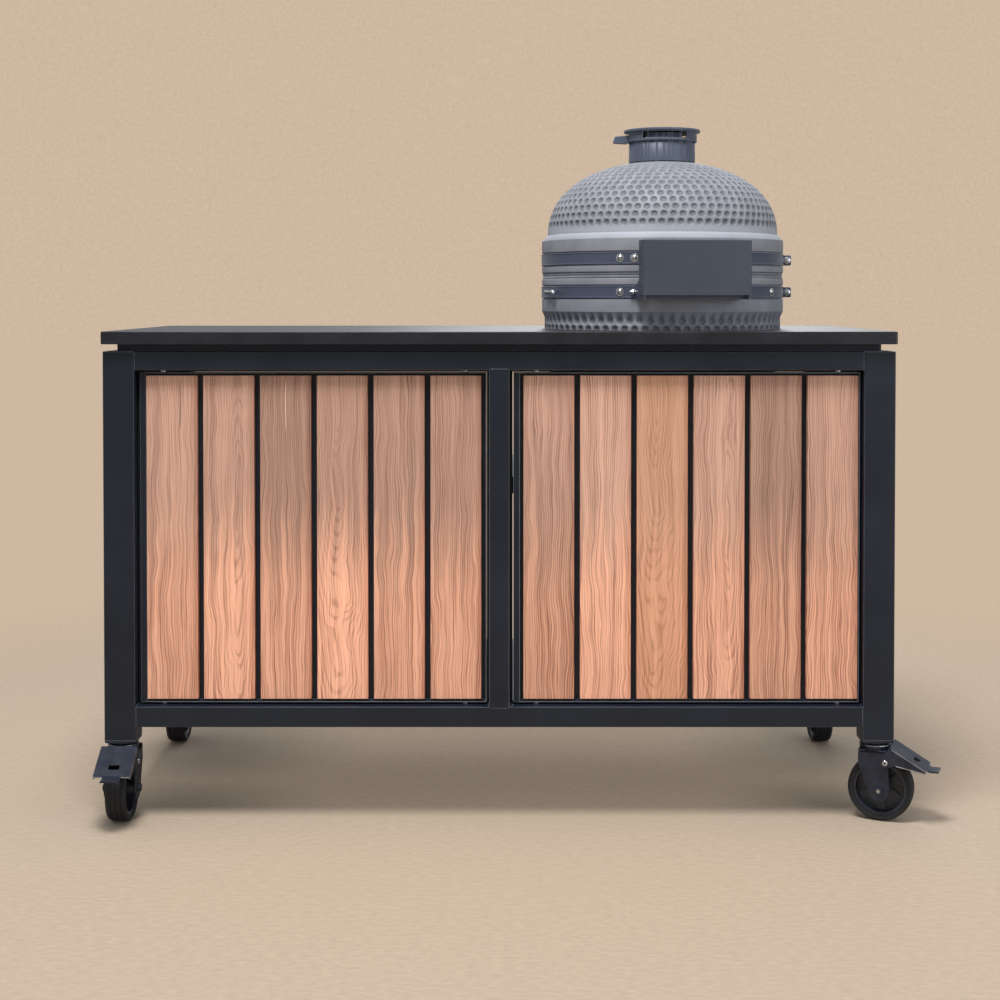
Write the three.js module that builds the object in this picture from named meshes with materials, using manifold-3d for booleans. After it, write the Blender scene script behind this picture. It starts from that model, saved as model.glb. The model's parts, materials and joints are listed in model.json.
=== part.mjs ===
// Kamado grill table: a steel frame on four swivel casters, with a worktop, two slatted doors
// and an egg-shaped ceramic grill that sits on a shelf and stands up through the worktop.
// Millimetres. X runs along the table, Y from the side with the doors to the open side, Z up.

import * as THREE from 'three';
import { mergeVertices } from 'three/addons/utils/BufferGeometryUtils.js';
import Module from 'manifold-3d';

const wasm = await Module();
wasm.setup();

// Clearances and roundness
const fitGap = 0.3; // gap between pieces that touch
const overrun = 10; // how far a cutting solid runs past what it cuts
const cornerSteps = 2; // facets of a small rounded corner
const curveSteps = 4; // facets of a larger curve in an outline
const largeTurns = 30; // facets round the grill's body
const innerTurns = 20; // facets round what stands inside it
const smallTurns = 16; // facets round a race or a dial
const wheelTurns = 18; // facets round a wheel
const pinTurns = 10; // facets round a pin or a bolt

// Steel frame
const tableWidth = 1500;
const frameHeight = 739; // without the casters
const postSide = 60;
const tubeWall = 3;
const tubeCorner = 4;
const railDepth = 40;
const topRailHeight = 36;
const bottomRailHeight = 40;
const bottomRailLift = 25; // bottom rail above the posts' feet
const centrePostWidth = 40;

// Worktop and the thinner board under it
const worktopOverhang = 15; // past the frame, at the front and the back
const worktopThickness = 24;
const worktopCorner = 5;
const worktopEdge = 1.5;
const subTopThickness = 14;
const subTopInset = 25;
const worktopHoleClearance = 4; // round the grill

// Slatted doors
const leafEndGap = 4; // above and below the leaf
const leafHingeGap = 7;
const leafFreeGap = 4;
const leafSheet = 2;
const leafStile = 12; // upright bar at the hinge edge
const boardCount = 6;
const boardGap = 11.2;
const boardThickness = 16;
const boardRecess = 18; // boards' faces behind the posts' faces
const boardEndGap = 10; // from the rails to the ends of the boards
const boardEase = 2; // rounding of a board's long edges
const leftBoardsMargins = [19, 14]; // bay's edge to the first board, last board to the bay's edge
const rightBoardsMargins = [26, 7];
const pivotInset = 50; // door pivots from the bay's edge
const pivotRadius = 4;
const pivotReach = 8; // how far a pivot stands into its rail
const catchInset = 45; // catches from the bay's other edge
const catchRadius = 4.5;

// Slatted end panels
const endBoardCount = 5;
const endBoardMargin = 10;
const battenHeight = 40;
const battenThickness = 14;
const battenInset = 50; // battens from the ends of the boards

// Shelves
const shelfSheet = 3;
const shelfFlange = 30;
const shelfPlay = 0.3; // between a shelf's flanges and the rails they are bolted to
const grillShelfDepth = 450;
const shelfRailDepth = 24;
const shelfRailHeight = 40;

// Casters
const wheelRadius = 62.5; // to the corners between its facets
const forkRoom = 7.65; // from the tyre to the fork's crown
const tyreWidth = 40;
const tyreDepth = 12;
const tyreShoulder = 4;
const rimDepth = 7;
const rimWidth = 34;
const webThickness = 8;
const pocketCount = 6;
const pocketRibWidth = 7;
const bossRadius = 14;
const axleRadius = 6;
const nutSides = 6;
const axleNutRadius = 9;
const axleNutLength = 6;
const trail = 12; // the axle behind the swivel's axis
const padThickness = 5;
const padCorner = 6;
const raceRadius = 29;
const upperRaceHeight = 5;
const lowerRaceHeight = 8;
const forkWidth = 62;
const forkWall = 4;
const forkCrown = 6;
const forkHalfLength = 27;
const forkLegRadius = 16; // round end of a leg, about the axle
const frontRightSwivelDegrees = -22;
const endOnSwivelDegrees = -90;

// Brake pedal, with reaches from the swivel's axis and heights from the top of the fork's crown
const pedalPivotReach = 24;
const pedalPivotDrop = 21.7;
const pedalCoverPlay = 3; // from the races to the cover
const pedalCoverRise = 10.3;
const pedalCoverLength = 68;
const pedalCoverFall = 47;
const pedalSheet = 3;
const pedalTongueLength = 24;
const pedalTongueWidth = 24;
const pedalTongueDrop = 8;
const pedalEar = 10; // radius of the cheeks round the pivot
const pedalRivetRadius = 4.5;
const pedalRivetHead = 1.5;

// Ceramic grill: place in the table
const grillSideOffset = 17; // left of the middle of its bay
const grillY = 10; // back from the middle of the table
const grillRearRoom = 16.5; // from the base to the rear rails
const seamRise = 108; // where lid and base meet, above the worktop

// Ceramic grill: radii and heights, the heights from the seam
const ringRadius = 249;
const bandSeatDepth = 3; // inside the rings
const rimHeight = 13;
const gasketThickness = 6;
const gasketWidth = 20;
const bandZoneHeight = 28;
const ringHeight = 25;
const domeInset = 12; // dome's foot inside the rings
const domeFoot = 84; // height where the dome's curve starts
const domeHeight = 154;
const domePower = 2.2;
const domeSteps = 7; // points of a curve that shows
const ringEase = 1.5; // bevel at the top of the lid's ring
const lidWall = 24;
const chimneyHoleRadius = 54;
const baseHeight = 391.7; // foot to seam
const bellyInset = 5.5; // base's curve inside the rings
const bellyDrop = 84; // depth where the base's curve starts
const bellyRunOut = 14.3; // below the foot, where the curve would close
const bellyPower = 2.3;
const bellySteps = 6;
const hiddenSteps = 3; // points of a curve inside the grill
const baseWall = 26;
const footRadius = 112;
const footRingHeight = 12;
const baseFloor = 28;

// Bands and their clamps
const bandWidth = 24;
const bandThickness = 4;
const bandRoll = 1.5; // how far a band is hollowed along its middle
const bandRootDepth = 39; // what is fixed to a band starts this far inside it, before the curve cuts it
const clampReach = 16;
const clampHeight = 20;
const clampThickness = 6;
const clampSplit = 6;
const clampBoltRadius = 4;
const clampBoltHead = 7;
const clampBoltLength = 34;

// Hinge at the side with the doors
const hingeDegrees = 7.5; // turned about the grill's axis
const hingePinStandoff = 36.7; // pin from the bands
const hingePinHeight = 50; // pin above the seam
const hingePinRadius = 5;
const hingeArmSpread = 70;
const hingeArmThickness = 8;
const hingeBossRadius = 10;
const hingeCheekThickness = 4;
const coverWidth = 214;
const coverHeight = 106;
const coverRise = 16; // cover's top edge above the pin
const coverStandoff = 15; // cover's face from the pin
const coverDepth = 40;
const notchPlay = 2; // beside an arm where it swings through the cover's top
const notchReach = 8; // of the notch past the pin
const coverSheet = 2.5;
const coverCorner = 5;
const springWire = 4;
const springRadius = 9.5;
const springTurns = 7;
const springTurnSteps = 8;
const springSides = 5;

// Chimney
const collarFlange = 14.5; // collar's outside past the hole in the lid
const collarWall = 8;
const collarHeight = 62;
const collarSpigot = 18;
const capOverhang = 10.5; // plate's edge past the collar
const capThickness = 5;
const capSkirtWall = 3;
const capSkirtHeight = 20;
const capWindowCount = 3;
const capWindowDegrees = 78;
const collarWindowDegrees = 58;
const windowHeight = 11;
const windowSill = 3;
const tabLength = 23; // past the plate's edge
const tabWidth = 22;
const tabThickness = 14;

// Handle and thermometer on the far side of the lid
const handleLength = 250;
const handleRadius = 14;
const handleStandoff = 61.7; // bar's middle from the bands
const handlePostSpread = 88;
const handlePostWidth = 16;
const handlePostHeight = 22;
const dialRadius = 36;
const dialDepth = 14;
const dialRise = 150; // above the seam
const stemRadius = 4;
const stemReach = 42; // end of the stem inside the dome's surface

// Inside the grill
const fireBoxWall = 18;
const fireBoxClearance = 5;
const fireBoxTopDrop = 38; // below the seam
const grateDrop = 240;
const grateRadius = 104;
const grateThickness = 10;
const grateLedge = 10;
const fireBoxFloor = 18; // under the grate's seat
const mouthRoom = 10; // fire box's mouth round the draft door's sleeve
const grateSlotCount = 14;
const grateSlotWidth = 9;
const grateSlotShares = [0.26, 0.84]; // of the grate's radius
const gridThickness = 6;
const gridPlay = 9.5; // from the inside of the base
const gridBarCount = 8;
const gridBarWidth = 5;
const gridRimWidth = 8;

// Draft door on the far side of the base
const draftWidth = 110;
const draftHeight = 46;
const draftFloor = 48; // its lower edge above the grill's foot
const draftSheet = 2.5;
const draftStandoff = 27; // face of its frame from the base's curve
const draftSleeveLength = 90; // behind the face
const draftRim = 16;
const draftKnobRadius = 8;
const draftKnobLength = 12;

// Colours, roughness and metalness
const frameSteel = new THREE.MeshStandardMaterial({ color: 0x262c34, roughness: 0.5, metalness: 0.3 });
const stoneTop = new THREE.MeshStandardMaterial({ color: 0x2b2d33, roughness: 0.4, metalness: 0 });
const hardwood = new THREE.MeshStandardMaterial({ color: 0xc98a68, roughness: 0.65, metalness: 0 });
const ceramic = new THREE.MeshStandardMaterial({ color: 0x8b8f96, roughness: 0.5, metalness: 0 });
const fireClay = new THREE.MeshStandardMaterial({ color: 0xb9a68c, roughness: 0.9, metalness: 0 });
const bandSteel = new THREE.MeshStandardMaterial({ color: 0x3c4455, roughness: 0.4, metalness: 0.6 });
const coverSteel = new THREE.MeshStandardMaterial({ color: 0x444c58, roughness: 0.45, metalness: 0.4 });
const felt = new THREE.MeshStandardMaterial({ color: 0x1c1c1e, roughness: 0.95, metalness: 0 });
const bareSteel = new THREE.MeshStandardMaterial({ color: 0xa8abb0, roughness: 0.3, metalness: 0.9 });
const castIron = new THREE.MeshStandardMaterial({ color: 0x34363a, roughness: 0.7, metalness: 0.5 });
const tyreRubber = new THREE.MeshStandardMaterial({ color: 0x1e2126, roughness: 0.85, metalness: 0 });
const hubPlastic = new THREE.MeshStandardMaterial({ color: 0x33373d, roughness: 0.6, metalness: 0 });
const casterSteel = new THREE.MeshStandardMaterial({ color: 0x3a3e44, roughness: 0.45, metalness: 0.6 });

// Sizes that follow from the ones above
const axleHeight = wheelRadius * Math.cos(Math.PI / wheelTurns); // a wheel stands on a facet
const forkCrownTop = axleHeight + wheelRadius + forkRoom + forkCrown;
const footHeight = forkCrownTop + lowerRaceHeight + fitGap + upperRaceHeight + padThickness;
const frameTop = footHeight + frameHeight;
const bandSeatRadius = ringRadius - bandSeatDepth;
const bandOuter = bandSeatRadius + fitGap + bandThickness;
const domeRadius = ringRadius - domeInset;
const bellyRadius = ringRadius - bellyInset;
const bellyHeight = baseHeight - bellyDrop + bellyRunOut;
const tableDepth = 2 * (railDepth + bellyRadius + grillY + grillRearRoom);
const frameFront = -tableDepth / 2;
const bayEdge = tableWidth / 2 - postSide; // outer edge of a bay
const bayInner = centrePostWidth / 2;
const bayFloor = footHeight + bottomRailLift + bottomRailHeight;
const bayCeiling = frameTop - topRailHeight;
const subTopTop = frameTop + subTopThickness;
const worktopTop = subTopTop + worktopThickness;
const seamHeight = worktopTop + seamRise;
const grillShelfTop = seamHeight - baseHeight - fitGap;
const grillX = (bayEdge + bayInner) / 2 - grillSideOffset;
const worktopHole = bellyRadius + worktopHoleClearance;
const boardFront = frameFront + boardRecess;
const boardBack = boardFront + boardThickness;
const pivotLine = boardFront + boardThickness / 2;
const forkInner = forkWidth - 2 * forkWall;
const hingePinReach = bandOuter + hingePinStandoff;
const coverTop = hingePinHeight + coverRise;
const coverFace = hingePinReach + coverStandoff;
const collarRadius = chimneyHoleRadius + collarFlange;
const capRadius = collarRadius + capOverhang;
const xAxis = new THREE.Vector3(1, 0, 0);
const yAxis = new THREE.Vector3(0, 1, 0);
const zAxis = new THREE.Vector3(0, 0, 1);
const extrusionFrames = { x: [yAxis, zAxis, xAxis], y: [xAxis, zAxis, yAxis], z: [xAxis, yAxis, zAxis] };

// Solids

function signedVolume(points, triangles) {
  const [a, b, c] = [new THREE.Vector3(), new THREE.Vector3(), new THREE.Vector3()];
  let total = 0;
  for (let i = 0; i < triangles.length; i += 3) {
    a.fromBufferAttribute(points, triangles[i]);
    b.fromBufferAttribute(points, triangles[i + 1]);
    c.fromBufferAttribute(points, triangles[i + 2]);
    total += a.dot(b.cross(c));
  }
  return total;
}

// A closed geometry as a solid, with its faces turned outwards and its collapsed triangles left out.
function solid(geometry) {
  geometry.deleteAttribute('normal');
  geometry.deleteAttribute('uv');
  const merged = mergeVertices(geometry);
  const points = merged.getAttribute('position');
  const triangles = [];
  for (let i = 0; i < merged.index.count; i += 3) {
    const [a, b, c] = [merged.index.getX(i), merged.index.getX(i + 1), merged.index.getX(i + 2)];
    if (a !== b && b !== c && c !== a) triangles.push(a, b, c);
  }
  if (signedVolume(points, triangles) < 0) triangles.reverse();
  const triVerts = Uint32Array.from(triangles);
  return new wasm.Manifold(new wasm.Mesh({ numProp: 3, vertProperties: points.array, triVerts }));
}

function geometryOf(body) {
  const mesh = body.getMesh();
  const geometry = new THREE.BufferGeometry();
  geometry.setAttribute('position', new THREE.BufferAttribute(mesh.vertProperties, mesh.numProp));
  geometry.setIndex(new THREE.BufferAttribute(mesh.triVerts, 1));
  geometry.computeVertexNormals();
  return geometry;
}

function join(bodies) {
  return bodies.reduce((whole, body) => whole.add(body));
}

function cut(body, tools) {
  return body.subtract(join(tools));
}

// Outlines

function polygon(points) {
  return new THREE.Shape(points.map(([u, v]) => new THREE.Vector2(u, v)));
}

function roundedOutline(u0, u1, v0, v1, radius) {
  const outline = new THREE.Shape();
  outline.absarc(u1 - radius, v0 + radius, radius, -Math.PI / 2, 0);
  outline.absarc(u1 - radius, v1 - radius, radius, 0, Math.PI / 2);
  outline.absarc(u0 + radius, v1 - radius, radius, Math.PI / 2, Math.PI);
  outline.absarc(u0 + radius, v0 + radius, radius, Math.PI, 1.5 * Math.PI);
  return outline;
}

// An outline drawn across an axis and extruded along it. An arc gets the given number of facets.
function extrude(axis, outline, start, end, steps = cornerSteps) {
  const options = { depth: end - start, bevelEnabled: false, curveSegments: steps / 2 };
  const geometry = new THREE.ExtrudeGeometry(outline, options);
  geometry.translate(0, 0, start);
  geometry.applyMatrix4(new THREE.Matrix4().makeBasis(...extrusionFrames[axis]));
  return solid(geometry);
}

function block(x0, x1, y0, y1, z0, z1) {
  const geometry = new THREE.BoxGeometry(x1 - x0, y1 - y0, z1 - z0);
  return solid(geometry.translate((x0 + x1) / 2, (y0 + y1) / 2, (z0 + z1) / 2));
}

// A profile of radius and height pairs turned about Z.
function turn(profile, turns = largeTurns) {
  const points = profile.map(([radius, height]) => new THREE.Vector2(radius, height));
  return solid(new THREE.LatheGeometry(points, turns).rotateX(Math.PI / 2));
}

function ring(inner, outer, bottom, top, turns = largeTurns) {
  return turn([[inner, bottom], [outer, bottom], [outer, top], [inner, top], [inner, bottom]], turns);
}

function disc(radius, bottom, top, turns = largeTurns) {
  return turn([[0, bottom], [radius, bottom], [radius, top], [0, top]], turns);
}

// A round bar along X or Y through a point given by its other two coordinates.
function bar(axis, radius, start, end, u, v, turns = pinTurns) {
  const outline = new THREE.Shape().absarc(u, v, radius, 0, 2 * Math.PI);
  return extrude(axis, outline, start, end, turns);
}

function spun(body, angle) {
  const degrees = THREE.MathUtils.radToDeg(angle);
  return body.rotate([0, 0, degrees]);
}

// Square tubes welded together: all their walls, less all their bores.
function weld(members) {
  const walls = [];
  const bores = [];
  for (const [axis, start, end, u0, u1, v0, v1] of members) {
    walls.push(extrude(axis, roundedOutline(u0, u1, v0, v1, tubeCorner), start, end));
    const [boreU0, boreU1] = [u0 + tubeWall, u1 - tubeWall];
    const [boreV0, boreV1] = [v0 + tubeWall, v1 - tubeWall];
    const bore = polygon([[boreU0, boreV0], [boreU1, boreV0], [boreU1, boreV1], [boreU0, boreV1]]);
    bores.push(extrude(axis, bore, start - overrun, end + overrun));
  }
  return cut(join(walls), bores);
}

// Scene graph

const table = new THREE.Group();

function addMesh(group, name, material, body) {
  const mesh = new THREE.Mesh(geometryOf(body), material);
  mesh.name = name;
  group.add(mesh);
  return mesh;
}

// Steel frame

// Two posts with the rails between them. The end that carries the grill's shelf has a rail for it.
function endFrame(side) {
  const [outer, inner] = [side * tableWidth / 2, side * bayEdge];
  const [x0, x1] = [Math.min(outer, inner), Math.max(outer, inner)];
  const railOuter = side * (tableWidth / 2 - railDepth);
  const [railX0, railX1] = [Math.min(outer, railOuter), Math.max(outer, railOuter)];
  const postInner = frameFront + postSide;
  const [railStart, railEnd] = [postInner - tubeWall, tubeWall - postInner];
  const members = [
    ['z', footHeight, frameTop, x0, x1, frameFront, postInner],
    ['z', footHeight, frameTop, x0, x1, -postInner, -frameFront],
    ['y', railStart, railEnd, railX0, railX1, bayCeiling, frameTop],
    ['y', railStart, railEnd, railX0, railX1, bayFloor - bottomRailHeight, bayFloor],
  ];
  if (side > 0) {
    const railTop = grillShelfTop - shelfSheet;
    const railBottom = railTop - shelfRailHeight;
    members.push(['y', railStart, railEnd, bayEdge, bayEdge + shelfRailDepth, railBottom, railTop]);
  }
  return weld(members);
}

// Top rail, bottom rail and centre post between the end frames.
function bayFrameMembers(y0, y1) {
  const reach = bayEdge - fitGap;
  return [
    ['x', -reach, reach, y0, y1, bayCeiling, frameTop],
    ['x', -reach, reach, y0, y1, bayFloor - bottomRailHeight, bayFloor],
    ['z', bayFloor - tubeWall, bayCeiling + tubeWall, -bayInner, bayInner, y0, y1],
  ];
}

function doorPivotX(left) {
  return left + pivotInset;
}

// The front frame has holes in its rails for the doors' pivots.
function frontFrame() {
  const frame = weld(bayFrameMembers(frameFront, frameFront + railDepth));
  const holes = [-bayEdge, bayInner].flatMap((left) => [
    [bayFloor - overrun, bayFloor + overrun],
    [bayCeiling - overrun, bayCeiling + overrun],
  ].map(([bottom, top]) => disc(pivotRadius + fitGap, bottom, top, pinTurns)
    .translate([doorPivotX(left), pivotLine, 0])));
  return cut(frame, holes);
}

// The rear frame reaches forward to the front one with the cross rail that carries the grill's shelf.
function rearFrame() {
  const members = bayFrameMembers(-frameFront - railDepth, -frameFront);
  const railTop = grillShelfTop - shelfSheet;
  const start = frameFront + railDepth + fitGap;
  const end = -frameFront - railDepth + tubeWall;
  members.push(['y', start, end, -bayInner, bayInner, railTop - shelfRailHeight, railTop]);
  return weld(members);
}

function topSlab(halfWidth, halfDepth, bottom, top, corner, edge) {
  const outline = roundedOutline(-halfWidth, halfWidth, -halfDepth, halfDepth, corner);
  const geometry = new THREE.ExtrudeGeometry(outline, {
    depth: top - bottom - 2 * edge,
    curveSegments: cornerSteps / 2,
    bevelEnabled: edge > 0,
    bevelThickness: edge,
    bevelSize: edge,
    bevelOffset: -edge,
    bevelSegments: cornerSteps,
  });
  const hole = disc(worktopHole, bottom - overrun, top + overrun).translate([grillX, grillY, 0]);
  return cut(solid(geometry.translate(0, 0, bottom + edge)), [hole]);
}

function bottomShelf() {
  const [reachX, reachY] = [tableWidth / 2 - railDepth - shelfPlay, -frameFront - railDepth - shelfPlay];
  const [notchX, notchY] = [bayEdge - shelfPlay, -frameFront - postSide - shelfPlay];
  const plan = (inset) => {
    const [x, y] = [reachX - inset, reachY - inset];
    const [nx, ny] = [notchX - inset, notchY - inset];
    return polygon([
      [-nx, -y], [nx, -y], [nx, -ny], [x, -ny], [x, ny], [nx, ny],
      [nx, y], [-nx, y], [-nx, ny], [-x, ny], [-x, -ny], [-nx, -ny],
    ]);
  };
  const tray = extrude('z', plan(0), bayFloor - shelfFlange, bayFloor);
  const space = extrude('z', plan(shelfSheet), bayFloor - shelfFlange - overrun, bayFloor - shelfSheet);
  return cut(tray, [space]);
}

// Folded steel shelf that lies on two rails, with stiffening channels under the grill.
function grillShelf() {
  const railTop = grillShelfTop - shelfSheet + fitGap;
  const half = grillShelfDepth / 2;
  const [start, end] = [bayInner + shelfPlay, bayEdge - shelfPlay];
  const sheet = block(-bayInner, bayEdge + shelfRailDepth - shelfPlay, -half, half, railTop, grillShelfTop);
  const lip = railTop - shelfFlange;
  const webs = [-half, -half / 3 - shelfSheet, half / 3, half - shelfSheet]
    .map((y) => block(start, end, y, y + shelfSheet, lip, grillShelfTop));
  return join([sheet, ...webs]);
}

// An upright board with eased long edges.
function uprightBoard(x0, x1, y0, y1) {
  const outline = roundedOutline(x0, x1, y0, y1, boardEase);
  return extrude('z', outline, bayFloor + boardEndGap, bayCeiling - boardEndGap);
}

// Boards fixed to two battens, which reach from post to post.
function endPanel(side) {
  const face = side * (tableWidth / 2 - boardRecess);
  const back = face - side * boardThickness;
  const battenBack = back - side * battenThickness;
  const reach = -frameFront - postSide;
  const pitch = (2 * (reach - endBoardMargin) + boardGap) / endBoardCount;
  const pieces = [];
  for (let i = 0; i < endBoardCount; i += 1) {
    const start = endBoardMargin - reach + i * pitch;
    pieces.push(uprightBoard(Math.min(face, back), Math.max(face, back), start, start + pitch - boardGap));
  }
  const lower = bayFloor + boardEndGap + battenInset;
  const upper = bayCeiling - boardEndGap - battenInset - battenHeight;
  const [x0, x1] = [Math.min(back, battenBack), Math.max(back, battenBack)];
  for (const bottom of [lower, upper]) {
    pieces.push(block(x0, x1, fitGap - reach, reach - fitGap, bottom, bottom + battenHeight));
  }
  return join(pieces);
}

addMesh(table, 'end_frame_left', frameSteel, endFrame(-1));
addMesh(table, 'end_frame_right', frameSteel, endFrame(1));
addMesh(table, 'front_frame', frameSteel, frontFrame());
addMesh(table, 'rear_frame', frameSteel, rearFrame());
const [subTopX, subTopY] = [tableWidth / 2 - subTopInset, tableDepth / 2 - subTopInset / 2];
addMesh(table, 'sub_top', frameSteel, topSlab(subTopX, subTopY, frameTop, subTopTop, worktopCorner, 0));
const topHalfDepth = tableDepth / 2 + worktopOverhang;
const worktop = topSlab(tableWidth / 2, topHalfDepth, subTopTop, worktopTop, worktopCorner, worktopEdge);
addMesh(table, 'worktop', stoneTop, worktop);
addMesh(table, 'bottom_shelf', frameSteel, bottomShelf());
addMesh(table, 'kamado_shelf', frameSteel, grillShelf());
addMesh(table, 'end_panel_left', hardwood, endPanel(-1));
addMesh(table, 'end_panel_right', hardwood, endPanel(1));

// Doors

// A folded leaf with a bar at its hinge edge, and round pivots and catches above and below it.
function doorLeaf(left) {
  const [x0, x1] = [left + leafHingeGap, left + bayEdge - bayInner - leafFreeGap];
  const [z0, z1] = [bayFloor + leafEndGap, bayCeiling - leafEndGap];
  const front = boardFront + leafSheet / 2;
  const back = boardBack + leafSheet;
  const pieces = [
    block(x0, x1, boardBack, back, z0, z1),
    block(x0, x0 + leafStile, front, back, z0, z1),
    block(x1 - leafSheet, x1, front, back, z0, z1),
    block(x0, x1, front, back, z0, z0 + leafSheet),
    block(x0, x1, front, back, z1 - leafSheet, z1),
  ];
  const [pivotX, catchX] = [doorPivotX(left), left + bayEdge - bayInner - catchInset];
  const seat = leafSheet / 2; // pivots and catches are welded this deep in the leaf
  const studs = [
    [pivotX, pivotRadius, z1 - seat, z1 + leafEndGap + pivotReach],
    [pivotX, pivotRadius, z0 - leafEndGap - pivotReach, z0 + seat],
    [catchX, catchRadius, z1 - seat, bayCeiling - fitGap],
    [catchX, catchRadius, bayFloor + fitGap, z0 + seat],
  ];
  for (const [x, radius, bottom, top] of studs) {
    pieces.push(disc(radius, bottom, top, pinTurns).translate([x, pivotLine, 0]));
  }
  return join(pieces);
}

function addDoor(side, left, [startMargin, endMargin]) {
  const start = left + startMargin;
  const span = bayEdge - bayInner - startMargin - endMargin;
  const pitch = (span + boardGap) / boardCount;
  addMesh(table, `door_leaf_${side}`, frameSteel, doorLeaf(left));
  for (let i = 0; i < boardCount; i += 1) {
    const x = start + i * pitch;
    const board = uprightBoard(x, x + pitch - boardGap, boardFront, boardBack);
    addMesh(table, `door_board_${side}_${i + 1}`, hardwood, board);
  }
}

addDoor('left', -bayEdge, leftBoardsMargins);
addDoor('right', bayInner, rightBoardsMargins);

// Casters, each in a group whose origin is under the post, on the floor, with its trail along X

function casterPad() {
  const half = postSide / 2;
  const bottom = footHeight - padThickness;
  const pad = extrude('z', roundedOutline(-half, half, -half, half, padCorner), bottom, footHeight - fitGap);
  return join([pad, disc(raceRadius - forkWall, bottom - upperRaceHeight, bottom + fitGap, smallTurns)]);
}

function forkOutline() {
  const shoulder = axleHeight + forkLegRadius + forkHalfLength;
  const outline = new THREE.Shape();
  outline.moveTo(-forkHalfLength, shoulder);
  outline.lineTo(trail - forkLegRadius, axleHeight);
  outline.absarc(trail, axleHeight, forkLegRadius, Math.PI, 2 * Math.PI);
  outline.quadraticCurveTo(forkHalfLength + forkWall, shoulder - forkLegRadius, forkHalfLength, forkCrownTop);
  outline.lineTo(-forkHalfLength, forkCrownTop);
  return outline;
}

// Crown and two legs in one bent piece, with the lower race on top and the bolted axle between the legs.
function fork() {
  const half = forkWidth / 2;
  const body = extrude('y', forkOutline(), -half, half, curveSteps);
  const inner = forkInner / 2;
  const space = block(-wheelRadius, wheelRadius + trail, -inner, inner, 0, forkCrownTop - forkCrown);
  const race = disc(raceRadius, forkCrownTop - forkCrown / 2, forkCrownTop + lowerRaceHeight, smallTurns);
  const axle = bar('y', axleRadius, -half, half, trail, axleHeight);
  const nuts = [[-half - axleNutLength, -half], [half, half + axleNutLength]]
    .map(([start, end]) => bar('y', axleNutRadius, start, end, trail, axleHeight, nutSides));
  return join([cut(body, [space]), race, axle, ...nuts]);
}

// Rim, web with triangular pockets, and the boss that turns on the axle.
function wheelHub() {
  const rimOuter = wheelRadius - tyreDepth - fitGap;
  const rimInner = rimOuter - rimDepth;
  const halfWeb = webThickness / 2;
  const halfBoss = forkInner / 2 - fitGap;
  const halfRim = rimWidth / 2;
  const hub = turn([
    [axleRadius + fitGap, -halfBoss], [bossRadius, -halfBoss], [bossRadius, -halfWeb], [rimInner, -halfWeb],
    [rimInner, -halfRim], [rimOuter, -halfRim], [rimOuter, halfRim], [rimInner, halfRim],
    [rimInner, halfWeb], [bossRadius, halfWeb], [bossRadius, halfBoss], [axleRadius + fitGap, halfBoss],
    [axleRadius + fitGap, -halfBoss],
  ], wheelTurns);
  const near = bossRadius + pocketRibWidth;
  const far = rimInner - pocketRibWidth / 2;
  const spread = Math.PI / pocketCount;
  const halfFar = far * Math.sin(spread) - pocketRibWidth / 2;
  const pocket = extrude('z', polygon([[near, 0], [far, -halfFar], [far, halfFar]]), -overrun, overrun);
  const pockets = [];
  for (let i = 0; i < pocketCount; i += 1) pockets.push(spun(pocket, 2 * i * spread));
  return cut(hub, pockets);
}

function tyre() {
  const inner = wheelRadius - tyreDepth;
  const half = tyreWidth / 2;
  const crown = tyreShoulder / 4;
  return turn([
    [inner, -half], [wheelRadius - tyreShoulder, -half], [wheelRadius - crown, tyreShoulder - half],
    [wheelRadius, 0], [wheelRadius - crown, half - tyreShoulder], [wheelRadius - tyreShoulder, half],
    [inner, half], [inner, -half],
  ], wheelTurns);
}

// Two cheeks outside the fork's legs under a sloping cover, with a tongue for the foot.
function brakePedal() {
  const inner = forkWidth / 2 + fitGap;
  const outer = inner + pedalSheet;
  const [start, top] = [raceRadius + pedalCoverPlay, forkCrownTop + pedalCoverRise];
  const [end, foot] = [start + pedalCoverLength, top - pedalCoverFall];
  const drop = pedalSheet * Math.hypot(pedalCoverLength, pedalCoverFall) / pedalCoverLength;
  const cover = polygon([[start, top], [end, foot], [end, foot - drop], [start, top - drop]]);
  const pivot = [pedalPivotReach, forkCrownTop - pedalPivotDrop];
  const cheek = new THREE.Shape();
  cheek.absarc(...pivot, pedalEar, 0.75 * Math.PI, 1.5 * Math.PI);
  cheek.quadraticCurveTo(start + pedalEar, pivot[1], end, foot - drop);
  cheek.lineTo(end, foot);
  cheek.lineTo(start, top);
  const tongueRoot = end - pedalEar;
  const tongueTop = foot + pedalEar * pedalCoverFall / pedalCoverLength;
  const tongueEnd = end + pedalTongueLength;
  const tongue = polygon([
    [tongueRoot, tongueTop - drop / 2], [end + pedalEar / 2, foot - drop],
    [tongueEnd, foot - pedalTongueDrop], [tongueEnd, foot - pedalTongueDrop - pedalSheet],
    [end + pedalEar / 2, foot - 2 * drop], [tongueRoot, tongueTop - 1.5 * drop],
  ]);
  const half = pedalTongueWidth / 2;
  const rivets = [[-outer - pedalRivetHead, -inner], [inner, outer + pedalRivetHead]]
    .map(([near, far]) => bar('y', pedalRivetRadius, near, far, ...pivot, nutSides));
  return join([
    extrude('y', cover, -outer, outer), extrude('y', cheek, -outer, -inner, curveSteps),
    extrude('y', cheek, inner, outer, curveSteps), extrude('y', tongue, -half, half), ...rivets,
  ]);
}

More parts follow.
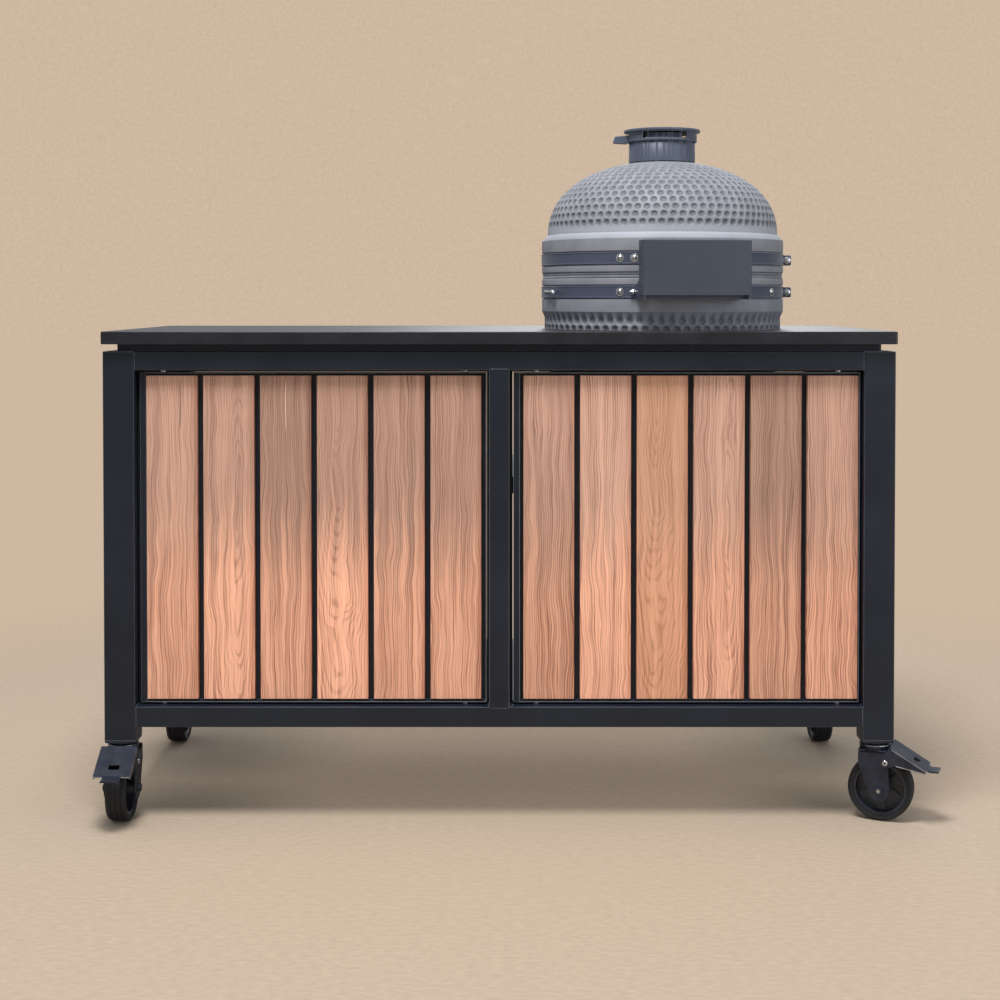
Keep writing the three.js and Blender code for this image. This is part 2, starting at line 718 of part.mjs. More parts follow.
function addCaster(corner, sideX, sideY, degrees, braked) {
  const swivel = new THREE.Group();
  swivel.name = `swivel_${corner}`;
  const [x, y] = [(tableWidth - postSide) / 2, (tableDepth - postSide) / 2];
  swivel.position.set(sideX * x, sideY * y, 0);
  addMesh(swivel, `caster_pad_${corner}`, casterSteel, casterPad());
  const turned = new THREE.Group();
  turned.name = `fork_frame_${corner}`;
  turned.rotation.z = THREE.MathUtils.degToRad(degrees);
  addMesh(turned, `fork_${corner}`, casterSteel, fork());
  const wheel = new THREE.Group();
  wheel.name = `wheel_axis_${corner}`;
  wheel.position.set(trail, 0, axleHeight);
  wheel.rotation.set(-Math.PI / 2, 0, Math.PI / wheelTurns);
  addMesh(wheel, `hub_${corner}`, hubPlastic, wheelHub());
  addMesh(wheel, `tyre_${corner}`, tyreRubber, tyre());
  turned.add(wheel);
  if (braked) addMesh(turned, `pedal_${corner}`, casterSteel, brakePedal());
  swivel.add(turned);
  table.add(swivel);
}

addCaster('front_left', -1, -1, endOnSwivelDegrees, true);
addCaster('front_right', 1, -1, frontRightSwivelDegrees, true);
addCaster('rear_left', -1, 1, endOnSwivelDegrees, false);
addCaster('rear_right', 1, 1, endOnSwivelDegrees, false);

// Ceramic grill, in a group whose origin is on its axis at the seam

const grill = new THREE.Group();
grill.name = 'grill';
grill.position.set(grillX, grillY, seamHeight);
table.add(grill);

// Points of a curve that leaves a cylinder of the given radius and closes in towards the axis,
// up to the given share of its height.
function closingCurve(radius, height, power, steps, lastShare) {
  const points = [];
  for (let i = 0; i <= steps; i += 1) {
    const angle = (i / steps) * Math.asin(lastShare ** (power / 2));
    const share = Math.sin(angle) ** (2 / power);
    points.push([radius * (1 - share ** power) ** (1 / power), height * share]);
  }
  return points;
}

const lidRingFoot = rimHeight + gasketThickness + bandZoneHeight;
const lidRingTop = lidRingFoot + ringHeight;
const lidInnerRadius = domeRadius - lidWall;

function domePoints(inset, steps) {
  const radius = domeRadius - inset;
  const lastShare = (1 - (chimneyHoleRadius / radius) ** domePower) ** (1 / domePower);
  return closingCurve(radius, domeHeight - inset, domePower, steps, lastShare)
    .map(([reach, rise]) => [reach, domeFoot + rise]);
}

function lidBody() {
  const outside = domePoints(0, domeSteps);
  const inside = domePoints(lidWall, hiddenSteps).reverse();
  const bottom = gasketThickness;
  const profile = [
    [lidInnerRadius, bottom], [ringRadius, bottom], [ringRadius, bottom + rimHeight],
    [bandSeatRadius, bottom + rimHeight], [bandSeatRadius, lidRingFoot], [ringRadius, lidRingFoot],
    [ringRadius, lidRingTop - ringEase], [ringRadius - ringEase, lidRingTop],
    ...outside, ...inside, [lidInnerRadius, bottom],
  ];
  return cut(turn(profile), [dialStem(stemRadius + fitGap, stemReach + overrun)]);
}

// Depths below the seam of the base's rim, band seat and ring.
const baseRingTop = -(rimHeight + gasketThickness + bandZoneHeight);
const baseRingFoot = baseRingTop - ringHeight;

// The base's curve, or one inside it, down to the given height.
function bellyPoints(inset, lastHeight, steps = hiddenSteps) {
  const fallHeight = bellyHeight - inset / 2;
  const lastShare = (-bellyDrop - lastHeight) / fallHeight;
  return closingCurve(bellyRadius - inset, fallHeight, bellyPower, steps, lastShare)
    .map(([radius, fall]) => [radius, -bellyDrop - fall]);
}

// The radius of such a curve at the given height.
function bellyReach(inset, height) {
  return bellyPoints(inset, height, 1)[1][0];
}

function baseBody() {
  const top = -gasketThickness;
  const innerRadius = bellyRadius - baseWall;
  const floorTop = baseFloor - baseHeight;
  const outside = bellyPoints(0, footRingHeight - baseHeight, bellySteps).reverse();
  const inside = bellyPoints(baseWall, floorTop);
  const profile = [
    [0, -baseHeight], [footRadius, -baseHeight], [footRadius, footRingHeight - baseHeight], ...outside,
    [ringRadius, baseRingFoot],
    [ringRadius, baseRingTop], [bandSeatRadius, baseRingTop], [bandSeatRadius, top - rimHeight],
    [ringRadius, top - rimHeight], [ringRadius, top], [innerRadius, top],
    ...inside, [0, floorTop],
  ];
  const half = draftWidth / 2;
  return cut(turn(profile), [block(-half, half, 0, ringRadius, draftBottom, draftBottom + draftHeight)]);
}

// A band hollowed a little along its middle, split by its clamp at the +X side and held there by a bolt.
function band(bottom) {
  const inner = bandOuter - bandThickness;
  const top = bottom + bandWidth;
  const middle = (bottom + top) / 2;
  const strap = turn([
    [inner, bottom], [bandOuter, bottom], [bandOuter - bandRoll, middle], [bandOuter, top], [inner, top],
    [inner, bottom],
  ]);
  const earOuter = bandOuter + clampReach;
  const ears = [-1, 1].map((side) => {
    const [near, far] = [clampSplit / 2, clampSplit / 2 + clampThickness];
    const [y0, y1] = [Math.min(side * near, side * far), Math.max(side * near, side * far)];
    return block(inner, earOuter, y0, y1, middle - clampHeight / 2, middle + clampHeight / 2);
  });
  const boltX = bandOuter + clampReach / 2;
  const end = clampSplit / 2 + clampThickness;
  const bolt = bar('y', clampBoltRadius, -end - clampBoltHead / 2, clampBoltLength - end, boltX, middle);
  const head = bar('y', clampBoltHead, -end - clampBoltHead, -end, boltX, middle, nutSides);
  const halfSplit = clampSplit / 2;
  const split = block(inner - overrun, bandOuter, -halfSplit, halfSplit, bottom - overrun, top + overrun);
  return join([cut(strap, [split]), ...ears, bolt, head]);
}

const bandRoot = bandSeatRadius - bandRootDepth;
const upperBandBottom = gasketThickness + rimHeight + (bandZoneHeight - bandWidth) / 2;
const lowerBandBottom = -gasketThickness - rimHeight - (bandZoneHeight + bandWidth) / 2;

function gasket(bottom, top) {
  return ring(bandSeatRadius - gasketWidth, bandSeatRadius, bottom, top);
}

// Fire box: a pot that follows the inside of the base, with a floor that holds the grate, a skirt below it
// and a mouth in the skirt for the draft door's sleeve.
function fireBox() {
  const clearWall = baseWall + fireBoxClearance;
  const innerWall = clearWall + fireBoxWall;
  const foot = baseFloor - baseHeight + fitGap;
  const top = -fireBoxTopDrop;
  const outside = bellyPoints(clearWall, foot);
  const [bowlFloor, pitTop] = [grateThickness - grateDrop, -grateDrop - fireBoxFloor];
  const inside = bellyPoints(innerWall, bowlFloor);
  const seat = grateRadius + 2 * fitGap;
  const bore = grateRadius - grateLedge;
  const footInner = outside[outside.length - 1][0] - fireBoxWall;
  const profile = [
    [footInner, foot], ...outside.slice().reverse(),
    [outside[0][0], top], [inside[0][0], top], ...inside,
    [seat, bowlFloor], [seat, -grateDrop], [bore, -grateDrop], [bore, pitTop],
    [bellyReach(innerWall, pitTop), pitTop],
    [bellyReach(innerWall, draftBottom + draftHeight), draftBottom + draftHeight], [footInner, foot],
  ];
  const half = draftWidth / 2 + mouthRoom;
  const mouthTop = draftBottom + draftHeight + mouthRoom;
  const mouth = block(-half, half, 0, ringRadius, foot - overrun, mouthTop);
  return cut(turn(profile, innerTurns), [mouth]);
}

function charcoalGrate() {
  const plate = disc(grateRadius, fitGap - grateDrop, grateThickness - grateDrop, innerTurns);
  const [near, far] = [grateRadius * grateSlotShares[0], grateRadius * grateSlotShares[1]];
  const slot = block(near, far, -grateSlotWidth / 2, grateSlotWidth / 2,
    -grateDrop - overrun, overrun - grateDrop + grateThickness);
  const slots = [];
  for (let i = 0; i < grateSlotCount; i += 1) slots.push(spun(slot, (2 * Math.PI * i) / grateSlotCount));
  return cut(plate, slots);
}

// Cooking grid: a rim and parallel bars in one plane, with one bar across them.
function cookingGrid() {
  const bottom = fitGap - fireBoxTopDrop;
  const top = bottom + gridThickness;
  const gridRadius = bellyRadius - baseWall - gridPlay;
  const rim = ring(gridRadius - gridRimWidth, gridRadius, bottom, top, innerTurns);
  const pitch = (2 * gridRadius) / (gridBarCount + 1);
  const reach = gridRadius - gridRimWidth / 2;
  const bars = [block(-gridBarWidth, gridBarWidth, -reach, reach, bottom, top)];
  for (let i = 1; i <= gridBarCount; i += 1) {
    const y = i * pitch - gridRadius;
    const half = Math.sqrt(reach ** 2 - y ** 2);
    bars.push(block(-half, half, y - gridBarWidth / 2, y + gridBarWidth / 2, bottom, top));
  }
  return join([rim, ...bars]);
}

// Draft door: a sleeve through the base's wall with a flat face, and a plate that slides across it

const draftBottom = draftFloor - baseHeight;
const draftMiddle = draftBottom + draftHeight / 2;
const draftFaceReach = bellyReach(0, draftMiddle) + draftStandoff;

function draftFrame() {
  const half = draftWidth / 2 - fitGap;
  const [low, high] = [draftBottom + fitGap, draftBottom + draftHeight - fitGap];
  const inner = draftFaceReach - draftSleeveLength;
  const sleeve = block(-half, half, inner, draftFaceReach, low, high);
  const bore = block(draftSheet - half, half - draftSheet, inner - overrun, draftFaceReach + overrun,
    low + draftSheet, high - draftSheet);
  const face = block(-half - draftRim, half + draftRim, draftFaceReach - draftSheet, draftFaceReach,
    low - draftRim, high + draftRim);
  const lipDepth = draftFaceReach + 3 * draftSheet;
  const channels = [[low - draftRim, draftSheet], [high + draftRim, -draftSheet]].flatMap(([edge, wall]) => [
    block(-half - draftRim, half + draftRim, draftFaceReach - draftSheet, lipDepth,
      Math.min(edge, edge + wall), Math.max(edge, edge + wall)),
    block(-half - draftRim, half + draftRim, lipDepth - draftSheet, lipDepth,
      Math.min(edge, edge + 3 * wall), Math.max(edge, edge + 3 * wall)),
  ]);
  return cut(join([sleeve, face, ...channels]), [bore]);
}

function draftDoor() {
  const half = draftWidth / 2 + draftSheet;
  const reach = draftHeight / 2 + draftRim - draftSheet - 2 * fitGap;
  const [front, back] = [draftFaceReach + fitGap, draftFaceReach + 2 * draftSheet - fitGap];
  const plate = block(-half, half, front, back, draftMiddle - reach, draftMiddle + reach);
  const knobEnd = back + draftKnobLength;
  const knob = bar('y', draftKnobRadius, (front + back) / 2, knobEnd, draftWidth / 4, draftMiddle);
  return join([plate, knob]);
}

// Hinge, in a group turned about the grill's axis, with its pin along X

// Turns back a round solid in the hinge's group, so that its facets meet those of the grill.
function unturned(body) {
  return spun(body, THREE.MathUtils.degToRad(-hingeDegrees));
}

function bandSpace(bottom, top) {
  return disc(bandOuter + fitGap, bottom, top);
}

// Cheeks and web bolted to the lower band, with the pin between the cheeks.
function hingeBracket() {
  const spread = coverWidth / 2 - coverSheet - fitGap;
  const pinBack = hingePinReach - hingeBossRadius;
  const [foot, top] = [lowerBandBottom - coverSheet, lowerBandBottom + bandWidth];
  const cheek = new THREE.Shape();
  cheek.absarc(-hingePinReach, hingePinHeight, hingeBossRadius, 0, Math.PI);
  cheek.lineTo(-hingePinReach - hingeBossRadius, foot);
  cheek.lineTo(-bandRoot, foot);
  cheek.lineTo(-bandRoot, top);
  cheek.lineTo(-pinBack, 0);
  const cheeks = [[-spread, hingeCheekThickness - spread], [spread - hingeCheekThickness, spread]]
    .map(([start, end]) => extrude('x', cheek, start, end, curveSteps));
  const web = block(-spread, spread, -pinBack - hingeCheekThickness, -pinBack, foot, top);
  const pad = block(-spread / 2, spread / 2, -pinBack, -bandRoot, foot, top);
  const pin = bar('x', hingePinRadius, -spread, spread, -hingePinReach, hingePinHeight);
  const body = join([...cheeks, web, pad, pin]);
  const seat = bandSpace(foot - overrun, top + overrun);
  return cut(body, [unturned(seat)]);
}

// The upper band with the two arms that turn on the pin.
function upperBandWithArms() {
  const top = upperBandBottom + bandWidth;
  const arm = new THREE.Shape();
  arm.absarc(-hingePinReach, hingePinHeight, hingeBossRadius, 0.35 * Math.PI, 1.35 * Math.PI);
  arm.lineTo(-bandSeatRadius, upperBandBottom);
  arm.lineTo(-bandRoot, upperBandBottom);
  arm.lineTo(-bandRoot, top);
  arm.lineTo(-bandSeatRadius, top);
  const half = hingeArmThickness / 2;
  const arms = [-hingeArmSpread, hingeArmSpread]
    .map((x) => extrude('x', arm, x - half, x + half, curveSteps));
  const clearTop = hingePinHeight + hingeBossRadius + overrun;
  const inside = disc(bandOuter - bandThickness, upperBandBottom - overrun, clearTop);
  const boreHalf = coverWidth / 2;
  const bore = bar('x', hingePinRadius + fitGap, -boreHalf, boreHalf, -hingePinReach, hingePinHeight);
  return join([unturned(band(upperBandBottom)), cut(join(arms), [unturned(inside), bore])]);
}

// A folded cover, open at the back and the bottom, with a notch in its top for each of the lid's arms.
function hingeCover() {
  const half = coverWidth / 2;
  const bottom = coverTop - coverHeight;
  const outline = roundedOutline(-half, half, -coverFace, coverDepth - coverFace, coverCorner);
  const shell = extrude('z', outline, bottom, coverTop);
  const inner = half - coverSheet;
  const space = block(-inner, inner, coverSheet - coverFace, coverDepth - coverFace + overrun,
    bottom - overrun, coverTop - coverSheet);
  const room = block(-half, half, -coverFace + coverDepth - coverCorner, coverDepth - coverFace + overrun,
    bottom - overrun, coverTop + overrun);
  const [halfNotch, notchFoot] = [hingeArmThickness / 2 + notchPlay, coverTop - coverSheet - overrun];
  const notches = [-hingeArmSpread, hingeArmSpread].map((x) => block(x - halfNotch, x + halfNotch,
    -hingePinReach - notchReach, coverDepth - coverFace + overrun, notchFoot, coverTop + overrun));
  return cut(shell, [space, room, ...notches]);
}

// Helix of the spring that lifts the lid, wound on the pin between the arms.
class SpringPath extends THREE.Curve {
  constructor(length, turns, radius) {
    super();
    Object.assign(this, { length, turns, radius });
  }

  getPoint(share, target = new THREE.Vector3()) {
    const angle = share * this.turns * 2 * Math.PI;
    const x = (share - 1 / 2) * this.length;
    return target.set(x, this.radius * Math.cos(angle), this.radius * Math.sin(angle));
  }
}

// The spring's least gap to itself, between points of its path at least half a turn apart.
function leastGap(path) {
  const points = path.getPoints(springTurns * springTurnSteps);
  let least = Infinity;
  for (let i = 0; i < points.length; i += 1) {
    for (let j = i + springTurnSteps / 2; j < points.length; j += 1) {
      least = Math.min(least, points[i].distanceTo(points[j]));
    }
  }
  return least - springWire;
}

function hingeSpring() {
  const length = 2 * (hingeArmSpread - hingeArmThickness / 2 - fitGap) - springWire;
  const path = new SpringPath(length, springTurns, springRadius);
  const section = new THREE.Shape().absarc(0, 0, springWire / 2, 0, 2 * Math.PI);
  const wire = new THREE.ExtrudeGeometry(section, {
    steps: springTurns * springTurnSteps,
    extrudePath: path,
    curveSegments: springSides / 2,
  });
  console.log(`hinge spring: least gap to itself ${leastGap(path).toFixed(2)} mm`);
  return solid(wire).translate([0, -hingePinReach, hingePinHeight]);
}

// Chimney

const collarShare = (1 - (chimneyHoleRadius / domeRadius) ** domePower) ** (1 / domePower);
const collarFoot = domeFoot + domeHeight * collarShare;
const collarTop = collarFoot + collarHeight;
// The skirt's facets clear the collar's corners.
const skirtInner = collarRadius / Math.cos(Math.PI / innerTurns) + fitGap;

// A wedge that cuts a window of the given width, centred on the direction of -Y.
function windowWedges(degrees, offsetDegrees, bottom, top) {
  const wedges = [];
  for (let i = 0; i < capWindowCount; i += 1) {
    const middle = THREE.MathUtils.degToRad((360 * i) / capWindowCount + offsetDegrees - 90);
    const half = THREE.MathUtils.degToRad(degrees / 2);
    const wedge = new THREE.Shape().moveTo(0, 0);
    wedge.absarc(0, 0, 2 * capRadius, middle - half, middle + half);
    wedges.push(extrude('z', wedge, bottom, top, curveSteps));
  }
  return wedges;
}

function chimneyCollar() {
  const inner = collarRadius - collarWall;
  const spigot = chimneyHoleRadius - 2 * fitGap;
  const bore = spigot - collarWall;
  const tube = turn([
    [bore, collarFoot - collarSpigot], [spigot, collarFoot - collarSpigot], [spigot, collarFoot + fitGap],
    [collarRadius, collarFoot + fitGap], [collarRadius, collarTop], [inner, collarTop],
    [inner, collarFoot + collarWall], [bore, collarFoot + collarWall], [bore, collarFoot - collarSpigot],
  ], innerTurns);
  const top = collarTop - windowSill;
  return cut(tube, windowWedges(collarWindowDegrees, 180 / capWindowCount, top - windowHeight, top));
}

function chimneyCap() {
  const [plateBottom, plateTop] = [collarTop + fitGap, collarTop + fitGap + capThickness];
  const skirtOuter = skirtInner + capSkirtWall;
  const skirtBottom = plateBottom - capSkirtHeight;
  const edge = capThickness / 4;
  const cap = turn([
    [0, plateBottom], [skirtInner, plateBottom], [skirtInner, skirtBottom], [skirtOuter, skirtBottom],
    [skirtOuter, plateBottom - edge], [capRadius, plateBottom], [capRadius, plateTop - edge],
    [capRadius - edge, plateTop], [0, plateTop],
  ], innerTurns);
  const tabReach = capRadius + tabLength;
  const tab = block(-tabReach, -skirtInner - capSkirtWall / 2, -tabWidth / 2, tabWidth / 2,
    skirtBottom - tabThickness / 2, skirtBottom + tabThickness / 2);
  const grip = tabThickness / 4;
  const hollowEnd = -skirtOuter - grip;
  const hollow = block(-tabReach - overrun, hollowEnd, -tabWidth, tabWidth, skirtBottom + grip, plateBottom);
  const top = collarTop - windowSill;
  const windows = windowWedges(capWindowDegrees, 0, top - windowHeight, top);
  return join([cut(cap, windows), cut(tab, [hollow])]);
}

// Handle: a round bar on two posts that are bolted to the upper band.
function lidHandle() {
  const middle = upperBandBottom + bandWidth / 2;
  const handleReach = bandOuter + handleStandoff;
  const grip = bar('x', handleRadius, -handleLength / 2, handleLength / 2, handleReach, middle);
  const [halfWidth, halfHeight] = [handlePostWidth / 2, handlePostHeight / 2];
  const posts = [-handlePostSpread, handlePostSpread].map((x) => block(x - halfWidth, x + halfWidth,
    bandRoot, handleReach, middle - halfHeight, middle + halfHeight));
  const seat = bandSpace(middle - handlePostHeight, middle + handlePostHeight);
  return join([grip, cut(join(posts), [seat])]);
}

// Thermometer: a dial square to the dome, with its stem through the wall

const dialShare = (dialRise - domeFoot) / domeHeight;
const dialReach = domeRadius * (1 - dialShare ** domePower) ** (1 / domePower);
const [riseShare, reachShare] = [dialShare, dialReach / domeRadius].map((share) => share ** (domePower - 1));
const dialSlope = Math.atan2(riseShare / domeHeight, reachShare / domeRadius);

function onDome(body) {
  const degrees = THREE.MathUtils.radToDeg(dialSlope);
  return body.rotate([degrees - 90, 0, 0]).translate([0, dialReach, dialRise]);
}

function dialStem(radius, depth) {
  return onDome(disc(radius, -depth, overrun, pinTurns));
}

function thermometer() {
  const edge = dialDepth / 4;
  const dial = turn([
    [0, fitGap], [dialRadius - edge, fitGap], [dialRadius, fitGap + edge], [dialRadius, dialDepth],
    [dialRadius - edge, dialDepth], [dialRadius - edge, dialDepth - edge], [0, dialDepth - edge],
  ], smallTurns);
  return join([onDome(dial), dialStem(stemRadius, stemReach)]);
}

const hinge = new THREE.Group();
hinge.name = 'hinge';
hinge.rotation.z = THREE.MathUtils.degToRad(hingeDegrees);
grill.add(hinge);
const hingePin = new THREE.Group();
hingePin.name = 'hinge_pin';
hingePin.position.set(0, -hingePinReach, hingePinHeight);
hinge.add(hingePin);

addMesh(grill, 'kamado_base', ceramic, baseBody());
addMesh(grill, 'base_gasket', felt, gasket(fitGap - gasketThickness, -fitGap / 2));
addMesh(grill, 'fire_box', fireClay, fireBox());
addMesh(grill, 'charcoal_grate', castIron, charcoalGrate());
addMesh(grill, 'cooking_grid', bareSteel, cookingGrid());
addMesh(grill, 'lower_band', bandSteel, band(lowerBandBottom));
addMesh(grill, 'draft_door_frame', bareSteel, draftFrame());
addMesh(grill, 'draft_door', bareSteel, draftDoor());
addMesh(hinge, 'hinge_bracket', bandSteel, hingeBracket());
addMesh(hinge, 'hinge_cover', coverSteel, hingeCover());
addMesh(hinge, 'hinge_spring', bareSteel, hingeSpring());
addMesh(hinge, 'upper_band', bandSteel, upperBandWithArms());
addMesh(grill, 'kamado_lid', ceramic, lidBody());
addMesh(grill, 'lid_gasket', felt, gasket(fitGap / 2, gasketThickness - fitGap));
addMesh(grill, 'chimney_collar', bandSteel, chimneyCollar());
addMesh(grill, 'chimney_cap', bandSteel, chimneyCap());
addMesh(grill, 'lid_handle', hardwood, lidHandle());
addMesh(grill, 'thermometer', bareSteel, thermometer());

// The origin is under the middle of the whole, on the floor.
const bounds = new THREE.Box3().setFromObject(table, true);
const middle = bounds.getCenter(new THREE.Vector3());
table.position.set(-middle.x, -middle.y, -bounds.min.z);

export default table;
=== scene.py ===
"""Looks of a wheeled outdoor kitchen table with a ceramic kamado grill in its worktop.

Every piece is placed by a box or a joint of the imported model, in metres: X runs along the table,
Y from the side with the doors to the open side, and Z up.
"""

import json
import logging
import math
import random
from collections.abc import Iterable, Sequence
from dataclasses import dataclass, field
from enum import Enum

import bmesh
import bpy
import numpy as np
from mathutils import Matrix, Vector
from mathutils.geometry import tessellate_polygon


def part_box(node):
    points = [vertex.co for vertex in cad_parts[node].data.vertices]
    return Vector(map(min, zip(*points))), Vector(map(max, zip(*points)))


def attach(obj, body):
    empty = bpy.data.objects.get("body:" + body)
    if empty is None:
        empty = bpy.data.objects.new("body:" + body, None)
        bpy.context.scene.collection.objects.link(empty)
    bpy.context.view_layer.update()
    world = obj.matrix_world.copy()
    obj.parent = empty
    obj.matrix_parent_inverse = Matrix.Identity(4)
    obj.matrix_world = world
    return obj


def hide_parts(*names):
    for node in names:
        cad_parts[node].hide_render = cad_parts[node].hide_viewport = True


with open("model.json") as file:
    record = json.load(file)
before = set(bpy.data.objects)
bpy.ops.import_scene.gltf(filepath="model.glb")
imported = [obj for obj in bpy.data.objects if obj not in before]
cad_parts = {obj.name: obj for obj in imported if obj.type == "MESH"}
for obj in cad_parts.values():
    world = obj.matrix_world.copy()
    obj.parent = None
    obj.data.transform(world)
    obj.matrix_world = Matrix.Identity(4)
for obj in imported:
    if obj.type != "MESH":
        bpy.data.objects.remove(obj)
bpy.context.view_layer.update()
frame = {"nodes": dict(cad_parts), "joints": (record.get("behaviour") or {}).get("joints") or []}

Pair = tuple[float, float]
Triple = tuple[float, float, float]
Colour = tuple[float, float, float, float]
log = logging.getLogger("kitchen_table")

FULL_TURN = 2 * math.pi


def paint(red: int, green: int, blue: int) -> Colour:
    """Turns a colour as seen on a screen into the linear one that shaders use.

    Args:
        red: Red share, 0 to 255.
        green: Green share, 0 to 255.
        blue: Blue share, 0 to 255.

    Returns:
        The linear colour with an alpha of one.
    """
    shares = [channel / 255 for channel in (red, green, blue)]
    linear = [share / 12.92 if share <= 0.04045 else ((share + 0.055) / 1.055) ** 2.4 for share in shares]
    return (linear[0], linear[1], linear[2], 1.0)


# Forms


class Plane(Enum):
    """The plane that an outline is drawn in. It is extruded along the remaining axis."""

    XY = (0, 1, 2)
    XZ = (0, 2, 1)
    YZ = (1, 2, 0)


@dataclass
class Form:
    """Points and faces of a shape, before it becomes a piece, and how deep its pits are, which the glaze paints
    as shade; below zero it marks where the glaze paints a highlight.
    """

    points: np.ndarray
    faces: list[tuple[int, ...]]
    hollow: np.ndarray | None = None

    def moved(self, matrix: Matrix) -> "Form":
        """Gives the form as the matrix places it."""
        turned = self.points @ np.array(matrix.to_3x3()).T + np.array(matrix.translation)
        return Form(turned, self.faces, self.hollow)

    def at(self, x: float, y: float, z: float) -> "Form":
        """Gives the form shifted by a distance along each axis."""
        return Form(self.points + np.array((x, y, z)), self.faces, self.hollow)

    def about(self, axis: str, angle: float) -> "Form":
        """Gives the form turned about an axis through the origin, by an angle in radians."""
        return self.moved(Matrix.Rotation(angle, 4, axis))

    def aimed(self, origin: Triple | Vector, direction: Triple | Vector) -> "Form":
        """Gives the form with its origin at a point and its Z along a direction."""
        return self.moved(facing(origin, direction))


def joined(forms: Iterable[Form]) -> Form:
    """Puts several forms into one.

    Args:
        forms: The forms, each with its own points.

    Returns:
        One form that holds all of them.
    """
    points: list[np.ndarray] = []
    faces: list[tuple[int, ...]] = []
    start = 0
    for form in forms:
        points.append(form.points)
        faces.extend(tuple(index + start for index in face) for face in form.faces)
        start += len(form.points)
    return Form(np.vstack(points), faces)


def eased(corners: Sequence[Pair], radius: float, steps: int = 3, closed: bool = True) -> list[Pair]:
    """Rounds the corners of an outline or a profile.

    Args:
        corners: The outline's corners in order.
        radius: Radius of the rounding, less where an edge is short.
        steps: Facets of a rounded corner.
        closed: Whether the last corner joins the first.

    Returns:
        The points of the rounded outline.
    """
    count = len(corners)
    points: list[Pair] = []
    for index, corner in enumerate(corners):
        if not closed and index in (0, count - 1):
            points.append(corner)
            continue
        here = Vector(corner)
        back = Vector(corners[index - 1]) - here
        ahead = Vector(corners[(index + 1) % count]) - here
        half_angle = back.angle(ahead) / 2
        reach = min(radius / math.tan(half_angle), 0.45 * back.length, 0.45 * ahead.length)
        if half_angle > 0.49 * math.pi:
            points.append(corner)
            continue
        start = here + back.normalized() * reach
        end = here + ahead.normalized() * reach
        for step in range(steps + 1):
            share = step / steps
            blended = (1 - share) ** 2 * start + 2 * share * (1 - share) * here + share**2 * end
            points.append((blended.x, blended.y))
    return points


def rectangle(u0: float, u1: float, v0: float, v1: float) -> list[Pair]:
    """Gives the corners of a rectangle."""
    return [(u0, v0), (u1, v0), (u1, v1), (u0, v1)]


def arc(centre: Pair, radius: float, start: float, end: float, steps: int = 12) -> list[Pair]:
    """Gives points on an arc.

    Args:
        centre: The arc's centre.
        radius: The arc's radius.
        start: First angle in degrees.
        end: Last angle in degrees.
        steps: Facets of the arc.

    Returns:
        The points from the first angle to the last.
    """
    angles = [math.radians(start + (end - start) * step / steps) for step in range(steps + 1)]
    return [(centre[0] + radius * math.cos(a), centre[1] + radius * math.sin(a)) for a in angles]


def prism(
    outline: Sequence[Pair], low: float, high: float, plane: Plane = Plane.XY, holes: Sequence[list[Pair]] = ()
) -> Form:
    """Extrudes an outline, with or without holes.

    Args:
        outline: The outer corners in order.
        low: Where the extrusion starts.
        high: Where it ends.
        plane: The plane of the outline.
        holes: Outlines of the holes.

    Returns:
        The closed form.
    """
    loops = [list(outline), *[list(hole) for hole in holes]]
    flat = [point for loop in loops for point in loop]
    size = len(flat)
    first, second, third = plane.value
    points = np.zeros((2 * size, 3))
    for level, depth in enumerate((low, high)):
        rows = slice(level * size, (level + 1) * size)
        points[rows, first] = [point[0] for point in flat]
        points[rows, second] = [point[1] for point in flat]
        points[rows, third] = depth
    if holes:
        caps = tessellate_polygon([[Vector((u, v, 0)) for u, v in loop] for loop in loops])
    else:
        caps = [tuple(range(size))]
    faces = [tuple(cap) for cap in caps] + [tuple(index + size for index in reversed(cap)) for cap in caps]
    start = 0
    for loop in loops:
        count = len(loop)
        for index in range(count):
            here, ahead = start + index, start + (index + 1) % count
            faces.append((here, ahead, ahead + size, here + size))
        start += count
    return Form(points, faces)


def block(x0: float, x1: float, y0: float, y1: float, z0: float, z1: float) -> Form:
    """Gives a plain bar between two corners, whose edges are eased later."""
    return prism(rectangle(x0, x1, y0, y1), z0, z1)


def lathe(profile: Sequence[Pair], turns: int = 72) -> Form:
    """Turns a profile of radius and height about Z.

    Args:
        profile: The points. It closes on itself, or it starts and ends on the axis.
        turns: Facets round the axis.

    Returns:
        The closed form.
    """
    closed = tuple(profile[0]) == tuple(profile[-1])
    rows = list(profile[:-1]) if closed else list(profile)
    angles = np.arange(turns) * FULL_TURN / turns
    points: list[np.ndarray] = []
    indices: list[list[int]] = []
    count = 0
    for radius, height in rows:
        if radius < 1e-9:
            points.append(np.array([[0.0, 0.0, height]]))
            indices.append([count] * turns)
            count += 1
            continue
        circle = (radius * np.cos(angles), radius * np.sin(angles), np.full(turns, height))
        points.append(np.column_stack(circle))
        indices.append(list(range(count, count + turns)))
        count += turns
    pairs = list(zip(indices, indices[1:] + indices[:1]))
    faces: list[tuple[int, ...]] = []
    for lower, upper in pairs if closed else pairs[:-1]:
        for index in range(turns):
            ahead = (index + 1) % turns
            corners = tuple(dict.fromkeys((lower[index], lower[ahead], upper[ahead], upper[index])))
            if len(corners) > 2:
                faces.append(corners)
    return Form(np.vstack(points), faces)


def ring(profile: Sequence[Pair], turns: int = 72) -> Form:
    """Turns a profile, whose last point joins its first, about Z."""
    return lathe([*profile, profile[0]], turns)


